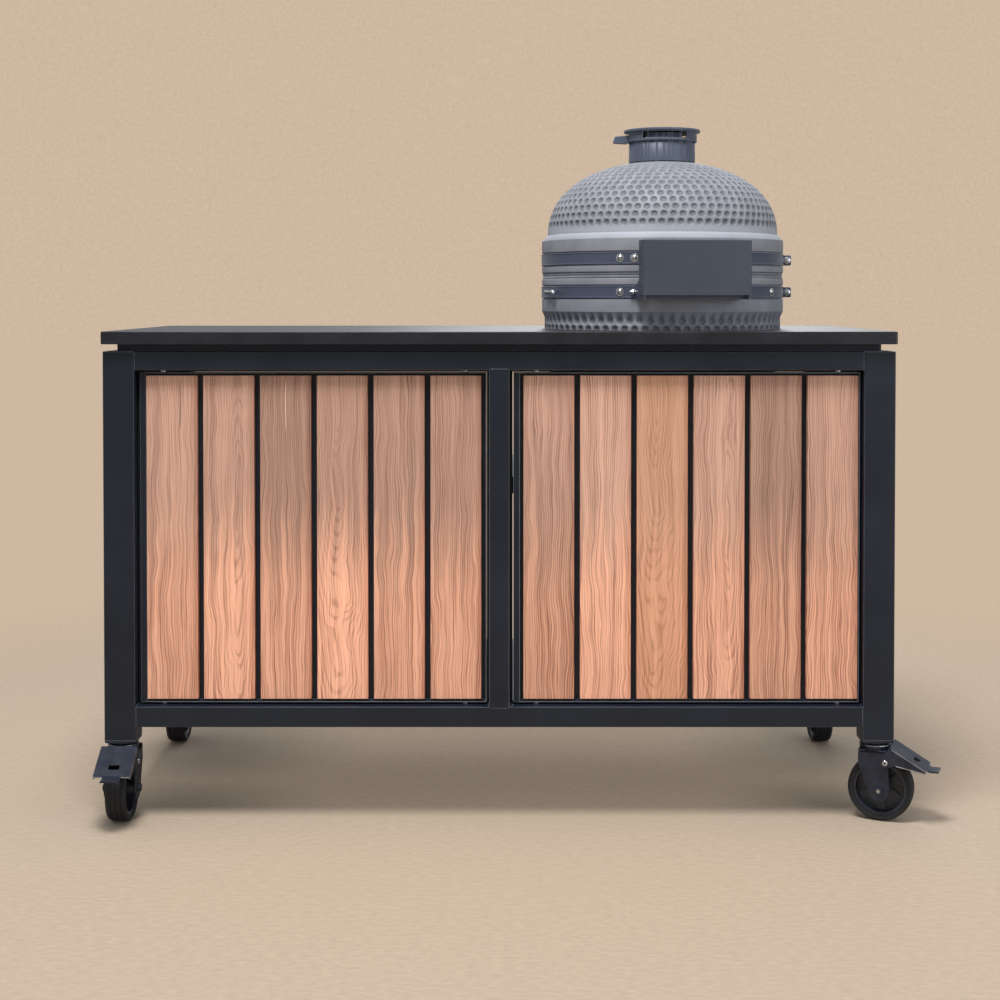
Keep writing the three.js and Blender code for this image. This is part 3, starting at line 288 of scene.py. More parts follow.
def tube(path: Sequence[Triple], radius: float, sides: int = 10, closed: bool = False) -> Form:
    """Sweeps a round section along a path.

    Args:
        path: The points of the path.
        radius: The section's radius.
        sides: Facets of the section.
        closed: Whether the path joins its start.

    Returns:
        The closed form.
    """
    route = [Vector(point) for point in path]
    count = len(route)
    normal = Vector((0, 0, 1))
    points: list[list[float]] = []
    for index, here in enumerate(route):
        back = route[index - 1] if closed or index else here
        ahead = route[(index + 1) % count] if closed or index < count - 1 else here
        along = (ahead - back).normalized()
        if abs(along.dot(normal)) > 0.9:
            normal = along.orthogonal()
        normal = (normal - along * normal.dot(along)).normalized()
        side = along.cross(normal)
        for step in range(sides):
            angle = FULL_TURN * step / sides
            points.append(list(here + radius * (math.cos(angle) * normal + math.sin(angle) * side)))
    faces: list[tuple[int, ...]] = []
    for index in range(count if closed else count - 1):
        low, high = index * sides, ((index + 1) % count) * sides
        for step in range(sides):
            ahead_step = (step + 1) % sides
            faces.append((low + step, low + ahead_step, high + ahead_step, high + step))
    if not closed:
        faces.append(tuple(range(sides)))
        faces.append(tuple((count - 1) * sides + step for step in range(sides)))
    return Form(np.array(points), faces)


def facing(origin: Triple | Vector, direction: Triple | Vector) -> Matrix:
    """Gives the matrix that puts a form's origin at a point and turns its Z along a direction."""
    turn = Vector(direction).to_track_quat("Z", "Y").to_matrix().to_4x4()
    return Matrix.Translation(Vector(origin)) @ turn


def dowel(radius: float, low: float, high: float, edge: float, turns: int = 32) -> Form:
    """Gives a round bar along Z with eased ends."""
    corners = [(0, low), (radius, low), (radius, high), (0, high)]
    return lathe(eased(corners, edge, 3, closed=False), turns)


def thread(radius: float, length: float, pitch: float = 0.0012) -> Form:
    """Gives a threaded end along Z.

    Args:
        radius: The thread's outer radius.
        length: Its length.
        pitch: From one ridge to the next.

    Returns:
        The closed form.
    """
    count = max(2, round(length / pitch))
    profile: list[Pair] = [(0, 0)]
    for index in range(count):
        profile += [(0.86 * radius, index * pitch), (radius, (index + 0.5) * pitch)]
    return lathe([*profile, (0.8 * radius, count * pitch), (0, count * pitch)], 16)


def hex_head(width: float, height: float) -> Form:
    """Gives a hexagonal head or nut along Z, with its corners chamfered.

    Args:
        width: Across its corners.
        height: Its height.

    Returns:
        The closed form.
    """
    radius = width / 2
    edge = 0.12 * width
    return lathe([(0, 0), (radius, 0), (radius, height - edge / 2), (radius - edge, height), (0, height)], 6)


def dome_head(radius: float, height: float, steps: int = 6) -> Form:
    """Gives a domed bolt head along Z with a round socket.

    Args:
        radius: The head's radius.
        height: The dome's height.
        steps: Facets along the dome.

    Returns:
        The closed form.
    """
    angles = [0.25 * math.pi * step / steps * 1.7 for step in range(steps + 1)]
    curve = [(radius * math.cos(angle), height * math.sin(angle)) for angle in angles]
    socket, floor = 0.4 * radius, 0.4 * height
    return lathe([(0, 0), *curve, (socket, 0.96 * height), (socket * 0.92, floor), (0, floor)], 18)


# Finishes


@dataclass(frozen=True, eq=False)
class Signal:
    """A number, vector or colour that leaves a shader node, with the arithmetic of its sheet."""

    sheet: "NodeSheet"
    socket: bpy.types.NodeSocket

    def __add__(self, other: "Feed") -> "Signal":
        """Gives the sum with another number."""
        return self.sheet.reckon("ADD", self, other)

    def __sub__(self, other: "Feed") -> "Signal":
        """Gives what is left after another number."""
        return self.sheet.reckon("SUBTRACT", self, other)

    def __mul__(self, other: "Feed") -> "Signal":
        """Gives the product with another number."""
        return self.sheet.reckon("MULTIPLY", self, other)

    def __pow__(self, power: float) -> "Signal":
        """Gives a power of the number."""
        return self.sheet.reckon("POWER", self, power)

    def __abs__(self) -> "Signal":
        """Gives the number without its sign."""
        return self.sheet.reckon("ABSOLUTE", self)


Feed = Signal | float | Triple | Colour
Feeds = Sequence[Feed] | dict[str | int, Feed]


class NodeSheet:
    """The nodes of a material or of the surround."""

    def __init__(self, owner: bpy.types.Material | bpy.types.World) -> None:
        """Starts with the surface's own coordinates.

        Args:
            owner: What the nodes are for.
        """
        owner.use_nodes = True
        self.tree = owner.node_tree
        self.tree.nodes.clear()
        self.place = self.give("Object", "TexCoord")

    def make(self, kind: str, feeds: Feeds = (), **settings: str | int) -> bpy.types.Node:
        """Adds a node.

        Args:
            kind: The node's type, without the word before it that all share.
            feeds: What its inputs take, in their order or by name.
            settings: The node's own settings.

        Returns:
            The node.
        """
        node = self.tree.nodes.new(f"ShaderNode{kind}")
        for name, value in settings.items():
            setattr(node, name, value)
        for key, value in feeds.items() if isinstance(feeds, dict) else enumerate(feeds):
            if isinstance(value, Signal):
                self.tree.links.new(value.socket, node.inputs[key])
            else:
                node.inputs[key].default_value = value
        return node

    def give(self, output: int | str, kind: str, feeds: Feeds = (), **settings: str | int) -> Signal:
        """Adds a node and gives one of its outputs."""
        return Signal(self, self.make(kind, feeds, **settings).outputs[output])

    def reckon(self, operation: str, first: Feed, second: Feed = 0.0) -> Signal:
        """Gives the result of an operation on one or two numbers."""
        return self.give(0, "Math", (first, second), operation=operation)

    def scaled(self, vector: Feed, factors: Feed) -> Signal:
        """Gives a vector with each part multiplied by a factor."""
        return self.give(0, "VectorMath", (vector, factors), operation="MULTIPLY")

    def shifted(self, vector: Feed, offset: Feed) -> Signal:
        """Gives the sum of two vectors."""
        return self.give(0, "VectorMath", (vector, offset), operation="ADD")

    def parts(self, vector: Feed) -> list[Signal]:
        """Gives the three parts of a vector."""
        return [Signal(self, part) for part in self.make("SeparateXYZ", (vector,)).outputs]

    def carried(self, name: str) -> Signal:
        """Gives a vector that the mesh carries under a name."""
        return self.give("Vector", "Attribute", attribute_name=name)

    def edges(self, radius: float) -> Signal:
        """Gives a number that climbs to one where faces meet at an angle.

        Args:
            radius: How far from an edge it starts.

        Returns:
            The number.
        """
        rounded = self.give("Normal", "Bevel", {"Radius": radius}, samples=6)
        flat = self.give("Normal", "NewGeometry")
        agreement = self.give("Value", "VectorMath", (rounded, flat), operation="DOT_PRODUCT")
        return self.step(agreement, 0.985, 0.9)

    def noise(self, size: float, detail: float = 2.0, place: Signal | None = None) -> Signal:
        """Gives soft noise around one half.

        Args:
            size: How large its blotches are.
            detail: How many finer layers it has.
            place: Where it is read, the surface's own place if none is given.

        Returns:
            The noise.
        """
        inputs = {"Vector": place or self.place, "Scale": 1 / size, "Detail": detail}
        return self.give("Fac", "TexNoise", inputs)

    def cells(self, size: float) -> Signal:
        """Gives the distance to the nearest of scattered points, in shares of their spacing."""
        return self.give("Distance", "TexVoronoi", {"Vector": self.place, "Scale": 1 / size})

    def ramp(self, share: Feed, *stops: tuple[float, Colour]) -> Signal:
        """Gives the colour at a share between two coloured stops.

        Args:
            share: The share.
            stops: Both stops, each a share and its colour.

        Returns:
            The colour.
        """
        node = self.make("ValToRGB", (share,))
        for element, (position, colour) in zip(node.color_ramp.elements, stops):
            element.position, element.color = position, colour
        return Signal(self, node.outputs[0])

    def step(self, value: Feed, low: float, high: float) -> Signal:
        """Gives a number that climbs smoothly from zero at the low value to one at the high one."""
        return self.give("Result", "MapRange", (value, low, high), interpolation_type="SMOOTHSTEP")

    def between(self, share: Feed, first: Feed, second: Feed, blend: str = "MIX") -> Signal:
        """Gives a mixture of two colours."""
        return self.give(2, "Mix", {0: share, 6: first, 7: second}, data_type="RGBA", blend_type=blend)

    def relief(self, height: Signal, depth: float, under: Signal | None = None) -> Signal:
        """Gives a normal that shows a relief of a depth, on top of another one where there is one."""
        normal = {} if under is None else {"Normal": under}
        return self.give(0, "Bump", {"Distance": depth, "Height": height, **normal})

    def shade(self, colour: Feed, roughness: Feed, normal: Signal | None = None, **constants: float) -> Signal:
        """Gives the surface's shader.

        Args:
            colour: Base colour.
            roughness: Roughness.
            normal: Normal with its relief.
            constants: Other inputs by name, with spaces as underscores.

        Returns:
            The shader.
        """
        feeds: dict[str | int, Feed] = {"Base Color": colour, "Roughness": roughness}
        feeds.update({name.replace("_", " "): value for name, value in constants.items()})
        if normal is not None:
            feeds["Normal"] = normal
        return self.give("BSDF", "BsdfPrincipled", feeds)

    def show(self, shader: Signal, output: str = "OutputMaterial") -> None:
        """Shows a shader on what the sheet is for."""
        self.make(output, {"Surface": shader})


@dataclass(frozen=True)
class Finish:
    """A surface finish. Each kind writes its own nodes."""

    name: str

    def write(self, sheet: NodeSheet) -> Signal:
        """Writes the finish's nodes into a sheet and gives their shader."""
        raise NotImplementedError

    def material(self) -> bpy.types.Material:
        """Makes the finish's material.

        Returns:
            The material.
        """
        made = bpy.data.materials.new(self.name)
        sheet = NodeSheet(made)
        sheet.show(self.write(sheet))
        return made


@dataclass(frozen=True)
class PowderCoat(Finish):
    """Baked powder paint: a fine orange peel, soft clouds of tone and a painted highlight along its edges."""

    light: Colour
    dark: Colour
    roughness: float
    grain: float = 0.0009
    cloud: float = 0.11
    peel: float = 0.00012
    # The painted highlight along the edges: its colour, its width and how strongly it shows.
    rubbed: Colour = paint(150, 157, 170)
    painted_edge_highlight_width: float = 0.002
    painted_edge_highlight_share: float = 0.8
    shine: float = 0.34

    def write(self, sheet: NodeSheet) -> Signal:
        """Writes the paint's tone, its peel and the painted highlight along its edges.

        Args:
            sheet: Where the nodes go.

        Returns:
            The shader.
        """
        clouds = sheet.noise(self.cloud, 3)
        specks = sheet.noise(self.grain, 2)
        colour = sheet.ramp(clouds * 0.7 + specks * 0.3, (0.3, self.dark), (0.7, self.light))
        rough = clouds * 0.16 + (self.roughness - 0.08)
        # Painted highlight: the colour turns lighter where faces meet at an edge.
        rubbed = sheet.between(sheet.edges(self.painted_edge_highlight_width) * self.painted_edge_highlight_share, colour, self.rubbed)
        return sheet.shade(rubbed, rough, sheet.relief(specks, self.peel), Specular_IOR_Level=self.shine)


@dataclass(frozen=True)
class StoneSlab(Finish):
    """A dark honed slab with fine pale specks."""

    light: Colour
    dark: Colour
    speck: Colour = paint(120, 122, 128)
    cloud: float = 0.06
    spacing: float = 0.004
    speck_reach: Pair = (0.14, 0.05)
    speck_share: float = 0.35
    grain: float = 0.0016
    pitting: float = 0.00006

    def write(self, sheet: NodeSheet) -> Signal:
        """Writes the slab's clouds, specks and fine pitting.

        Args:
            sheet: Where the nodes go.

        Returns:
            The shader.
        """
        clouds = sheet.noise(self.cloud, 5)
        colour = sheet.ramp(clouds, (0.35, self.dark), (0.72, self.light))
        specks = sheet.step(sheet.cells(self.spacing), *self.speck_reach)
        speckled = sheet.between(specks * self.speck_share, colour, self.speck)
        pitted = sheet.relief(sheet.noise(self.grain, 3), self.pitting)
        return sheet.shade(speckled, clouds * 0.2 + 0.26, pitted)


@dataclass(frozen=True)
class Glaze(Finish):
    """Matt-satin ceramic glaze with fine speckle, with painted shade in the pits and a painted highlight on the
    bare rim.
    """

    light: Colour
    dark: Colour
    # The painted shade in the pits, the painted highlight on the rim, and how dark the painted shade gets.
    pit_shade: Colour
    rim_highlight_tone: Colour = paint(170, 175, 186)
    pit_shade_share: float = 0.56
    roughness: float = 0.58
    cloud: float = 0.05
    speck: float = 0.0017
    speck_range: Pair = (0.56, 0.74)
    speck_depth: float = 0.00012
    wave: float = 0.03
    wave_depth: float = 0.0001
    shine: float = 0.35

    def write(self, sheet: NodeSheet) -> Signal:
        """Writes the glaze's speckle, painted shade in the pits, a painted highlight on the rim, and waves. The
        mesh carries its pits' depth, below zero on the rim.

        Args:
            sheet: Where the nodes go.

        Returns:
            The shader.
        """
        colour = sheet.ramp(sheet.noise(self.cloud, 4), (0.3, self.dark), (0.7, self.light))
        specks = sheet.noise(self.speck, 2)
        speckled = sheet.between(sheet.step(specks, *self.speck_range), colour, self.dark)
        depth, _, _ = sheet.parts(sheet.carried("pit_depth"))
        # Painted shade: the pits darkened by their depth.
        pit_shade = sheet.between(depth * self.pit_shade_share, speckled, self.pit_shade)
        # Painted highlight: the smooth rim lighter where the depth is below zero.
        rim_highlight_tone = sheet.between(depth * -1.0, pit_shade, self.rim_highlight_tone)
        waves = sheet.relief(sheet.noise(self.wave, 2), self.wave_depth)
        normal = sheet.relief(specks, self.speck_depth, waves)
        return sheet.shade(rim_highlight_tone, self.roughness, normal, Specular_IOR_Level=self.shine)


@dataclass(frozen=True)
class SawnWood(Finish):
    """Oiled hardwood boards, with a painted shadow over their upper part and painted shade along one edge. Each
    board's mesh carries its place, key, tones in painted shadow and painted light with its ochre tint, and
    pith.
    """

    light: Colour
    dark: Colour
    shaded_light: Colour
    shaded_dark: Colour
    ochre: Colour
    crack_dark: Colour = paint(70, 42, 32)
    crack_pale: Colour = paint(250, 214, 188)
    # The painted shade along one long edge of each board.
    side_shade_tone: Colour = (0.62, 0.45, 0.38, 1.0)
    ring_spacing: float = 0.0042
    sway: float = 0.03
    ripple: float = 0.004
    seed_shift: Triple = (3.7, 0.0, 0.0)
    sway_size: float = 0.16
    sway_stretch: Triple = (2.2, 1.0, 1.0)
    ripple_size: float = 0.02
    ripple_stretch: Triple = (1.0, 0.2, 1.0)
    fibre_scale: Triple = (430.0, 3.6, 430.0)
    fibre_range: Pair = (0.32, 0.68)
    streak_scale: Triple = (80.0, 1.2, 80.0)
    streak_range: Pair = (0.3, 0.7)
    pore_scale: Triple = (1000.0, 9.0, 1000.0)
    pore_range: Pair = (0.6, 0.7)
    fibre_share: float = 0.52
    streak_share: float = 0.22
    pore_share: float = 0.45
    paleness: float = 0.19
    # The painted shadow over the boards' upper part: where it ends and how softly.
    shade_height: float = 0.33
    shade_reach: float = 0.12
    # Painted shade along one long edge: where it starts, its width and how dark it gets.
    shade_edge: float = 0.035
    side_shade_width: float = 0.012
    side_shade_share: float = 0.5
    crack_width: Pair = (0.0012, 0.0003)
    crack_length: Pair = (0.055, 0.03)
    crack_share: float = 0.75
    ochre_share: float = 0.3
    groove: float = -0.0003
    roughness: float = 0.6
    shine: float = 0.3

    def write(self, sheet: NodeSheet) -> Signal:
        """Writes growth rings, fibres, pores and a crack, with a painted shadow that makes the wood greyer near
        the top and painted shade along one edge.

        Args:
            sheet: Where the nodes go.

        Returns:
            The shader.
        """
        place, key, age, pith = (sheet.carried(f"board_{name}") for name in ("place", "key", "age", "pith"))
        _, crack_across, crack_up = sheet.parts(key)
        shaded, sunlit, ochre = sheet.parts(age)
        across, up, _ = sheet.parts(place)
        aside, depth, taper = sheet.parts(pith)
        seeded = sheet.shifted(place, sheet.scaled(key, self.seed_shift))
        sway = sheet.noise(self.sway_size, 2, sheet.scaled(seeded, self.sway_stretch)) - 0.5
        ripple = sheet.noise(self.ripple_size, 2, sheet.scaled(seeded, self.ripple_stretch)) - 0.5
        bend = sway * self.sway + ripple * self.ripple
        squares = (across - aside + bend) ** 2 + (depth + taper * up + bend) ** 2
        turns = sheet.reckon("SQRT", squares) * (FULL_TURN / self.ring_spacing)
        rings = sheet.step(sheet.reckon("SINE", turns), 0.1, 1.0)
        flowing = sheet.shifted(seeded, sheet.scaled((1.0, 0.0, 0.0), bend))
        fibres, streaks, pores = (
            sheet.step(sheet.noise(1.0, detail, sheet.scaled(flowing, scale)), *limits)
            for detail, scale, limits in (
                (4, self.fibre_scale, self.fibre_range),
                (3, self.streak_scale, self.streak_range),
                (1, self.pore_scale, self.pore_range),
            )
        )
        figure = rings * (streaks * 0.3 + 0.1)
        fine = fibres * self.fibre_share + streaks * self.streak_share + pores * self.pore_share
        darkness = figure + fine - self.paleness
        # Lit and shaded copies of the wood, each with the board's own tone; the shaded copy is painted shadow
        # on the upper part.
        sunny, painted_shadow_copy = (
            sheet.scaled(sheet.between(darkness, light, dark), strength * 0.8 + 0.6)
            for light, dark, strength in (
                (self.light, self.dark, sunlit),
                (self.shaded_light, self.shaded_dark, shaded),
            )
        )
        low, high = self.shade_height - self.shade_reach, self.shade_height + self.shade_reach
        colour = sheet.between(sheet.step(up + streaks * 0.08, low, high), sunny, painted_shadow_copy)
        colour = sheet.between(ochre * self.ochre_share, colour, self.ochre)
        # Painted shade: darker towards the edge where across is positive, the right edge on the doors.
        near_shaded_side = sheet.step(across, self.shade_edge, self.shade_edge + self.side_shade_width)
        side_shaded = sheet.between(near_shaded_side * self.side_shade_share, colour, self.side_shade_tone, "MULTIPLY")
        beside_crack = across + ripple * 0.006 - crack_across
        narrow = sheet.step(abs(beside_crack), *self.crack_width)
        short = sheet.step(abs(up - abs(crack_up)), *self.crack_length)
        crack = narrow * short * self.crack_share
        crack_tone = sheet.between(sheet.step(crack_up, -0.01, 0.01), self.crack_pale, self.crack_dark)
        cracked = sheet.between(crack, side_shaded, crack_tone)
        grooves = fibres + rings * 0.4 + crack
        normal = sheet.relief(grooves, self.groove)
        return sheet.shade(cracked, self.roughness, normal, Specular_IOR_Level=self.shine)


@dataclass(frozen=True)
class Steel(Finish):
    """Bare or plated steel with fine drawn lines and faint stains."""

    light: Colour
    dark: Colour
    roughness: float
    metal: float = 1.0
    lines: Triple = (1.0, 1.0, 12.0)
    line: float = 0.004
    stain: float = 0.03
    depth: float = 0.00005

    def write(self, sheet: NodeSheet) -> Signal:
        """Writes the steel's drawn lines and stains.

        Args:
            sheet: Where the nodes go.

        Returns:
            The shader.
        """
        drawn = sheet.noise(self.line, 3, sheet.scaled(sheet.place, self.lines))
        colour = sheet.ramp(sheet.noise(self.stain, 4), (0.3, self.dark), (0.7, self.light))
        rough = drawn * 0.2 + (self.roughness - 0.1)
        return sheet.shade(colour, rough, sheet.relief(drawn, self.depth), Metallic=self.metal)


@dataclass(frozen=True)
class Grainy(Finish):
    """Rubber, felt, plastic, clay or cast iron: a matt ground with grains of a size."""

    light: Colour
    dark: Colour
    roughness: float
    grain: float
    depth: float
    metal: float = 0.0
    sheen: float = 0.0

    def write(self, sheet: NodeSheet) -> Signal:
        """Writes the grains and the clouds under them.

        Args:
            sheet: Where the nodes go.

        Returns:
            The shader.
        """
        grains = sheet.noise(self.grain, 3)
        clouds = sheet.noise(25 * self.grain, 3)
        colour = sheet.ramp(clouds * 0.5 + grains * 0.5, (0.32, self.dark), (0.68, self.light))
        normal = sheet.relief(grains, self.depth)
        return sheet.shade(colour, self.roughness, normal, Metallic=self.metal, Sheen_Weight=self.sheen)


class Coat(Enum):
    """The finishes on the object, each with the record's material slot."""

    FRAME = ("frame_paint", PowderCoat("frame_powder_coat", paint(29, 36, 48), paint(20, 26, 37), 0.4))
    WORKTOP = ("worktop_slab", StoneSlab("honed_slab", paint(33, 34, 43), paint(19, 20, 28)))
    SLATS = (
        "slat_wood",
        SawnWood(
            "oiled_boards",
            light=paint(255, 193, 162),
            dark=paint(146, 88, 68),
            # The shaded colours are the painted shadow over the boards' upper part.
            shaded_light=paint(213, 169, 148),
            shaded_dark=paint(142, 104, 88),
            ochre=paint(216, 152, 104),
        ),
    )
    GLAZE = (
        "kamado_ceramic",
        # The last colour is the painted shade in the pits.
        Glaze("grey_glaze", paint(146, 149, 158), paint(130, 133, 142), pit_shade=paint(84, 86, 93)),
    )
    CLAY = ("fire_clay", Grainy("fire_clay", paint(200, 182, 152), paint(164, 146, 120), 0.9, 0.0022, 0.0004))
    BAND = ("band_paint", PowderCoat("band_powder_coat", paint(80, 88, 107), paint(64, 72, 90), 0.32, 0.0007))
    COVER = ("cover_paint", PowderCoat("cover_powder_coat", paint(69, 75, 88), paint(60, 66, 78), 0.4, 0.0008))
    CHIMNEY = (
        "chimney_paint",
        PowderCoat("chimney_powder_coat", paint(86, 93, 110), paint(75, 82, 98), 0.42, 0.001),
    )
    FELT = (
        "gasket_felt",
        Grainy("felt", paint(142, 145, 154), paint(104, 107, 116), 0.95, 0.0012, 0.0004, sheen=0.3),
    )
    BRIGHT = ("stainless", Steel("bright_steel", paint(214, 214, 216), paint(178, 180, 184), 0.24))
    BRUSHED = (
        "stainless",
        Steel("brushed_steel", paint(196, 197, 200), paint(160, 162, 166), 0.32, lines=(1.0, 12.0, 12.0)),
    )
    DIAL = ("stainless", Grainy("dial_face", paint(236, 235, 230), paint(226, 225, 219), 0.5, 0.0012, 0.00002))
    INK = ("stainless", Grainy("dial_ink", paint(34, 34, 36), paint(26, 26, 28), 0.6, 0.001, 0.00002))
    IRON = (
        "grate_iron",
        Grainy("cast_iron", paint(64, 65, 70), paint(44, 45, 49), 0.62, 0.0018, 0.0003, metal=0.5),
    )
    RUBBER = ("tyre_rubber", Grainy("tyre_rubber", paint(18, 21, 28), paint(9, 11, 16), 0.7, 0.0011, 0.00012))
    HUB = ("hub_plastic", Grainy("moulded_hub", paint(36, 42, 54), paint(24, 28, 38), 0.4, 0.0009, 0.00006))
    ZINC = ("caster_zinc", Steel("dark_zinc", paint(54, 60, 74), paint(34, 39, 51), 0.4, metal=0.55))
    # Pale zinc for the race and the axle's ends, and for the painted highlights along the pedal's edges.
    RACE = ("caster_zinc", Steel("pale_zinc", paint(176, 178, 182), paint(140, 142, 148), 0.3))
    GRIP = ("handle_wood", Grainy("handle_wood", paint(150, 100, 66), paint(108, 66, 40), 0.5, 0.003, 0.0001))

    @property
    def slot(self) -> str:
        """The record's material slot."""
        return self.value[0]

    @property
    def finish(self) -> Finish:
        """The finish itself."""
        return self.value[1]


@dataclass
class Paintshop:
    """Keeps one material for each coat."""

    made: dict[Coat, bpy.types.Material] = field(default_factory=dict)

    def material(self, coat: Coat) -> bpy.types.Material:
        """Gives the material of a coat, made the first time that it is asked for.

        Args:
            coat: The coat.

        Returns:
            Its material.
        """
        if coat not in self.made:
            self.made[coat] = coat.finish.material()
        return self.made[coat]


# Pieces


@dataclass
class Fitter:
    """Makes pieces from forms, gives each its coat and lets it ride on its body."""

    shop: Paintshop
    count: int = 0
    bevel_angle: float = math.radians(32)
    sharp_angle: float = math.radians(35)
    flat_angle: float = math.radians(1)
    weld_reach: float = 0.00002

    def fit(
        self, name: str, form: Form, coat: Coat, body: str, replaces: Sequence[str] = (), ease: float = 0.0,
        cutters: Sequence[Form] = (),
    ) -> bpy.types.Object:
        """Makes one piece.

        Args:
            name: The piece's name.
            form: Its shape in the object's frame.
            coat: Its finish.
            body: The body that carries it.
            replaces: Nodes that it stands for.
            ease: Width of its eased edges, none where zero.
            cutters: Forms that are cut out of it.

        Returns:
            The piece.
        """
        piece = self.raw(name, form)
        if cutters:
            self.carve(piece, cutters)
        piece.data.materials.clear()
        piece.data.materials.append(self.shop.material(coat))
        self.soften(piece, ease)
        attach(piece, body)
        if replaces:
            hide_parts(*replaces)
        self.count += 1
        log.info("%s rides on %s with %d faces", name, body, len(piece.data.polygons))
        return piece

    def raw(self, name: str, form: Form) -> bpy.types.Object:
        """Makes an object from a form, with its faces turned outwards.

        Args:
            name: The object's name.
            form: Its shape.

        Returns:
            The object.
        """
        mesh = bpy.data.meshes.new(name)
        mesh.from_pydata(form.points.tolist(), [], form.faces)
        shell = bmesh.new()
        shell.from_mesh(mesh)
        bmesh.ops.recalc_face_normals(shell, faces=shell.faces)
        shell.to_mesh(mesh)
        shell.free()
        # The pits' depth, which the glaze paints as shade, and below zero a painted highlight on the lid's rim.
        if form.hollow is not None:
            mesh.attributes.new("pit_depth", "FLOAT", "POINT").data.foreach_set("value", form.hollow)
        piece = bpy.data.objects.new(name, mesh)
        bpy.context.scene.collection.objects.link(piece)
        return piece

    def carve(self, piece: bpy.types.Object, cutters: Sequence[Form]) -> None:
        """Cuts forms out of a piece's mesh.

        Args:
            piece: The piece.
            cutters: Closed forms that don't touch one another.
        """
        tool = self.raw("cutter", joined(cutters))
        cut = piece.modifiers.new("cut", "BOOLEAN")
        cut.operation = "DIFFERENCE"
        cut.solver = "MANIFOLD"
        cut.object = tool
        graph = bpy.context.evaluated_depsgraph_get()
        mesh = bpy.data.meshes.new_from_object(piece.evaluated_get(graph))
        piece.modifiers.clear()
        piece.data = mesh
        bpy.data.objects.remove(tool)

    def soften(self, piece: bpy.types.Object, ease: float) -> None:
        """Smooths a piece's shading and eases its edges.

        Args:
            piece: The piece.
            ease: Width of the eased edges, none where zero.
        """
        piece.data.shade_smooth()
        if ease > 0:
            bevel = piece.modifiers.new("eased_edges", "BEVEL")
            bevel.width = ease
            bevel.segments = 2
            bevel.limit_method = "ANGLE"
            bevel.angle_limit = self.bevel_angle
            flat = piece.modifiers.new("flat_faces", "WEIGHTED_NORMAL")
            flat.weight = 100
        else:
            piece.data.set_sharp_from_angle(angle=self.sharp_angle)

    def keep(self, node: str, coat: Coat, ease: float) -> None:
        """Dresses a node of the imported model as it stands.

        Args:
            node: The node's name.
            coat: Its finish.
            ease: Width of its eased edges.
        """
        piece = frame["nodes"][node]
        piece.data.materials.clear()
        piece.data.materials.append(self.shop.material(coat))
        weld = piece.modifiers.new("one_skin", "WELD")
        weld.merge_threshold = self.weld_reach
        flatten = piece.modifiers.new("whole_faces", "DECIMATE")
        flatten.decimate_type = "DISSOLVE"
        flatten.angle_limit = self.flat_angle
        self.soften(piece, ease)
        log.info("%s keeps its node", node)


@dataclass
class SubAssembly:
    """Pieces that are built together."""

    fitter: Fitter

    def build(self) -> None:
        """Builds and dresses the pieces."""
        raise NotImplementedError


def joint(name: str) -> dict:
    """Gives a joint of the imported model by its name."""
    return next(entry for entry in frame["joints"] if entry["name"] == name)


def middle_of(node: str) -> Vector:
    """Gives the middle of a node's box."""
    low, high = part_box(node)
    return (low + high) / 2


# Table


@dataclass
class SteelFrame(SubAssembly):
    """Welded tube frame and its shelves, which keep their nodes."""

    tubes: tuple[str, ...] = ("end_frame_left", "end_frame_right", "front_frame", "rear_frame")
    sheets: tuple[str, ...] = ("bottom_shelf", "kamado_shelf")
    edge: float = 0.001

    def build(self) -> None:
        """Dresses the tubes and the shelves."""
        for node in (*self.tubes, *self.sheets):
            self.fitter.keep(node, Coat.FRAME, self.edge)


@dataclass
class Tops(SubAssembly):
    """The worktop and the board under it, each with a round hole for the grill."""

    hole_clearance: float = 0.004
    belly_radius: float = 0.2435
    corner: float = 0.005
    edge: float = 0.0015
    spacing: float = 0.03

    def build(self) -> None:
        """Builds both tops round the grill's axis."""
        x, y, _ = joint("cap_turn")["pos_m"]
        for node, coat, edge in (("worktop", Coat.WORKTOP, self.edge), ("sub_top", Coat.FRAME, self.edge / 2)):
            low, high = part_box(node)
            form = self.slab(low, high, (x, y), self.belly_radius + self.hole_clearance)
            self.fitter.fit(f"{node}_board", form, coat, "frame", [node], edge)

    def slab(self, low: Vector, high: Vector, centre: Pair, radius: float) -> Form:
        """Gives a slab with rounded corners and a round hole.

        Args:
            low: Its lowest corner.
            high: Its highest corner.
            centre: The hole's centre.
            radius: The hole's radius.

        Returns:
            A form of four rows of points: bottom and top, outer and inner.
        """
        outline = eased(rectangle(low.x, high.x, low.y, high.y), self.corner, 4)
        outer: list[Pair] = []
        for index, start in enumerate(outline):
            end = outline[(index + 1) % len(outline)]
            pieces = max(1, math.ceil(math.dist(start, end) / self.spacing))
            outer += [
                (start[0] + (end[0] - start[0]) * step / pieces, start[1] + (end[1] - start[1]) * step / pieces)
                for step in range(pieces)
            ]
        inner = []
        for u, v in outer:
            share = radius / math.dist((u, v), centre)
            inner.append((centre[0] + share * (u - centre[0]), centre[1] + share * (v - centre[1])))
        rows = [(outer, low.z), (outer, high.z), (inner, high.z), (inner, low.z)]
        points = np.array([(u, v, z) for row, z in rows for u, v in row])
        count = len(outer)
        faces = []
        for row in range(4):
            for index in range(count):
                ahead = (index + 1) % count
                here, there = row * count, (row + 1) % 4 * count
                faces.append((here + index, here + ahead, there + ahead, there + index))
        return Form(points, faces)


class Figure(Enum):
    """How the growth rings cross a board: the pith's place beside it, behind it and its slope."""

    STRAIGHT = (0.3, 0.05, 0.01)
    CATHEDRAL = (0.016, -0.03, 0.085)
    ARCHED = (-0.012, 0.06, -0.1)
    WAVY = (0.05, -0.02, 0.05)


@dataclass(frozen=True)
class BoardLook:
    """How one board was sawn, its tone in the painted shadow and in the painted sunlight, its ochre tint and
    its crack.
    """

    figure: Figure
    shaded: float = 0.5
    sunlit: float = 0.5
    ochre: float = 0.0
    crack: Pair = (9.0, 9.0)


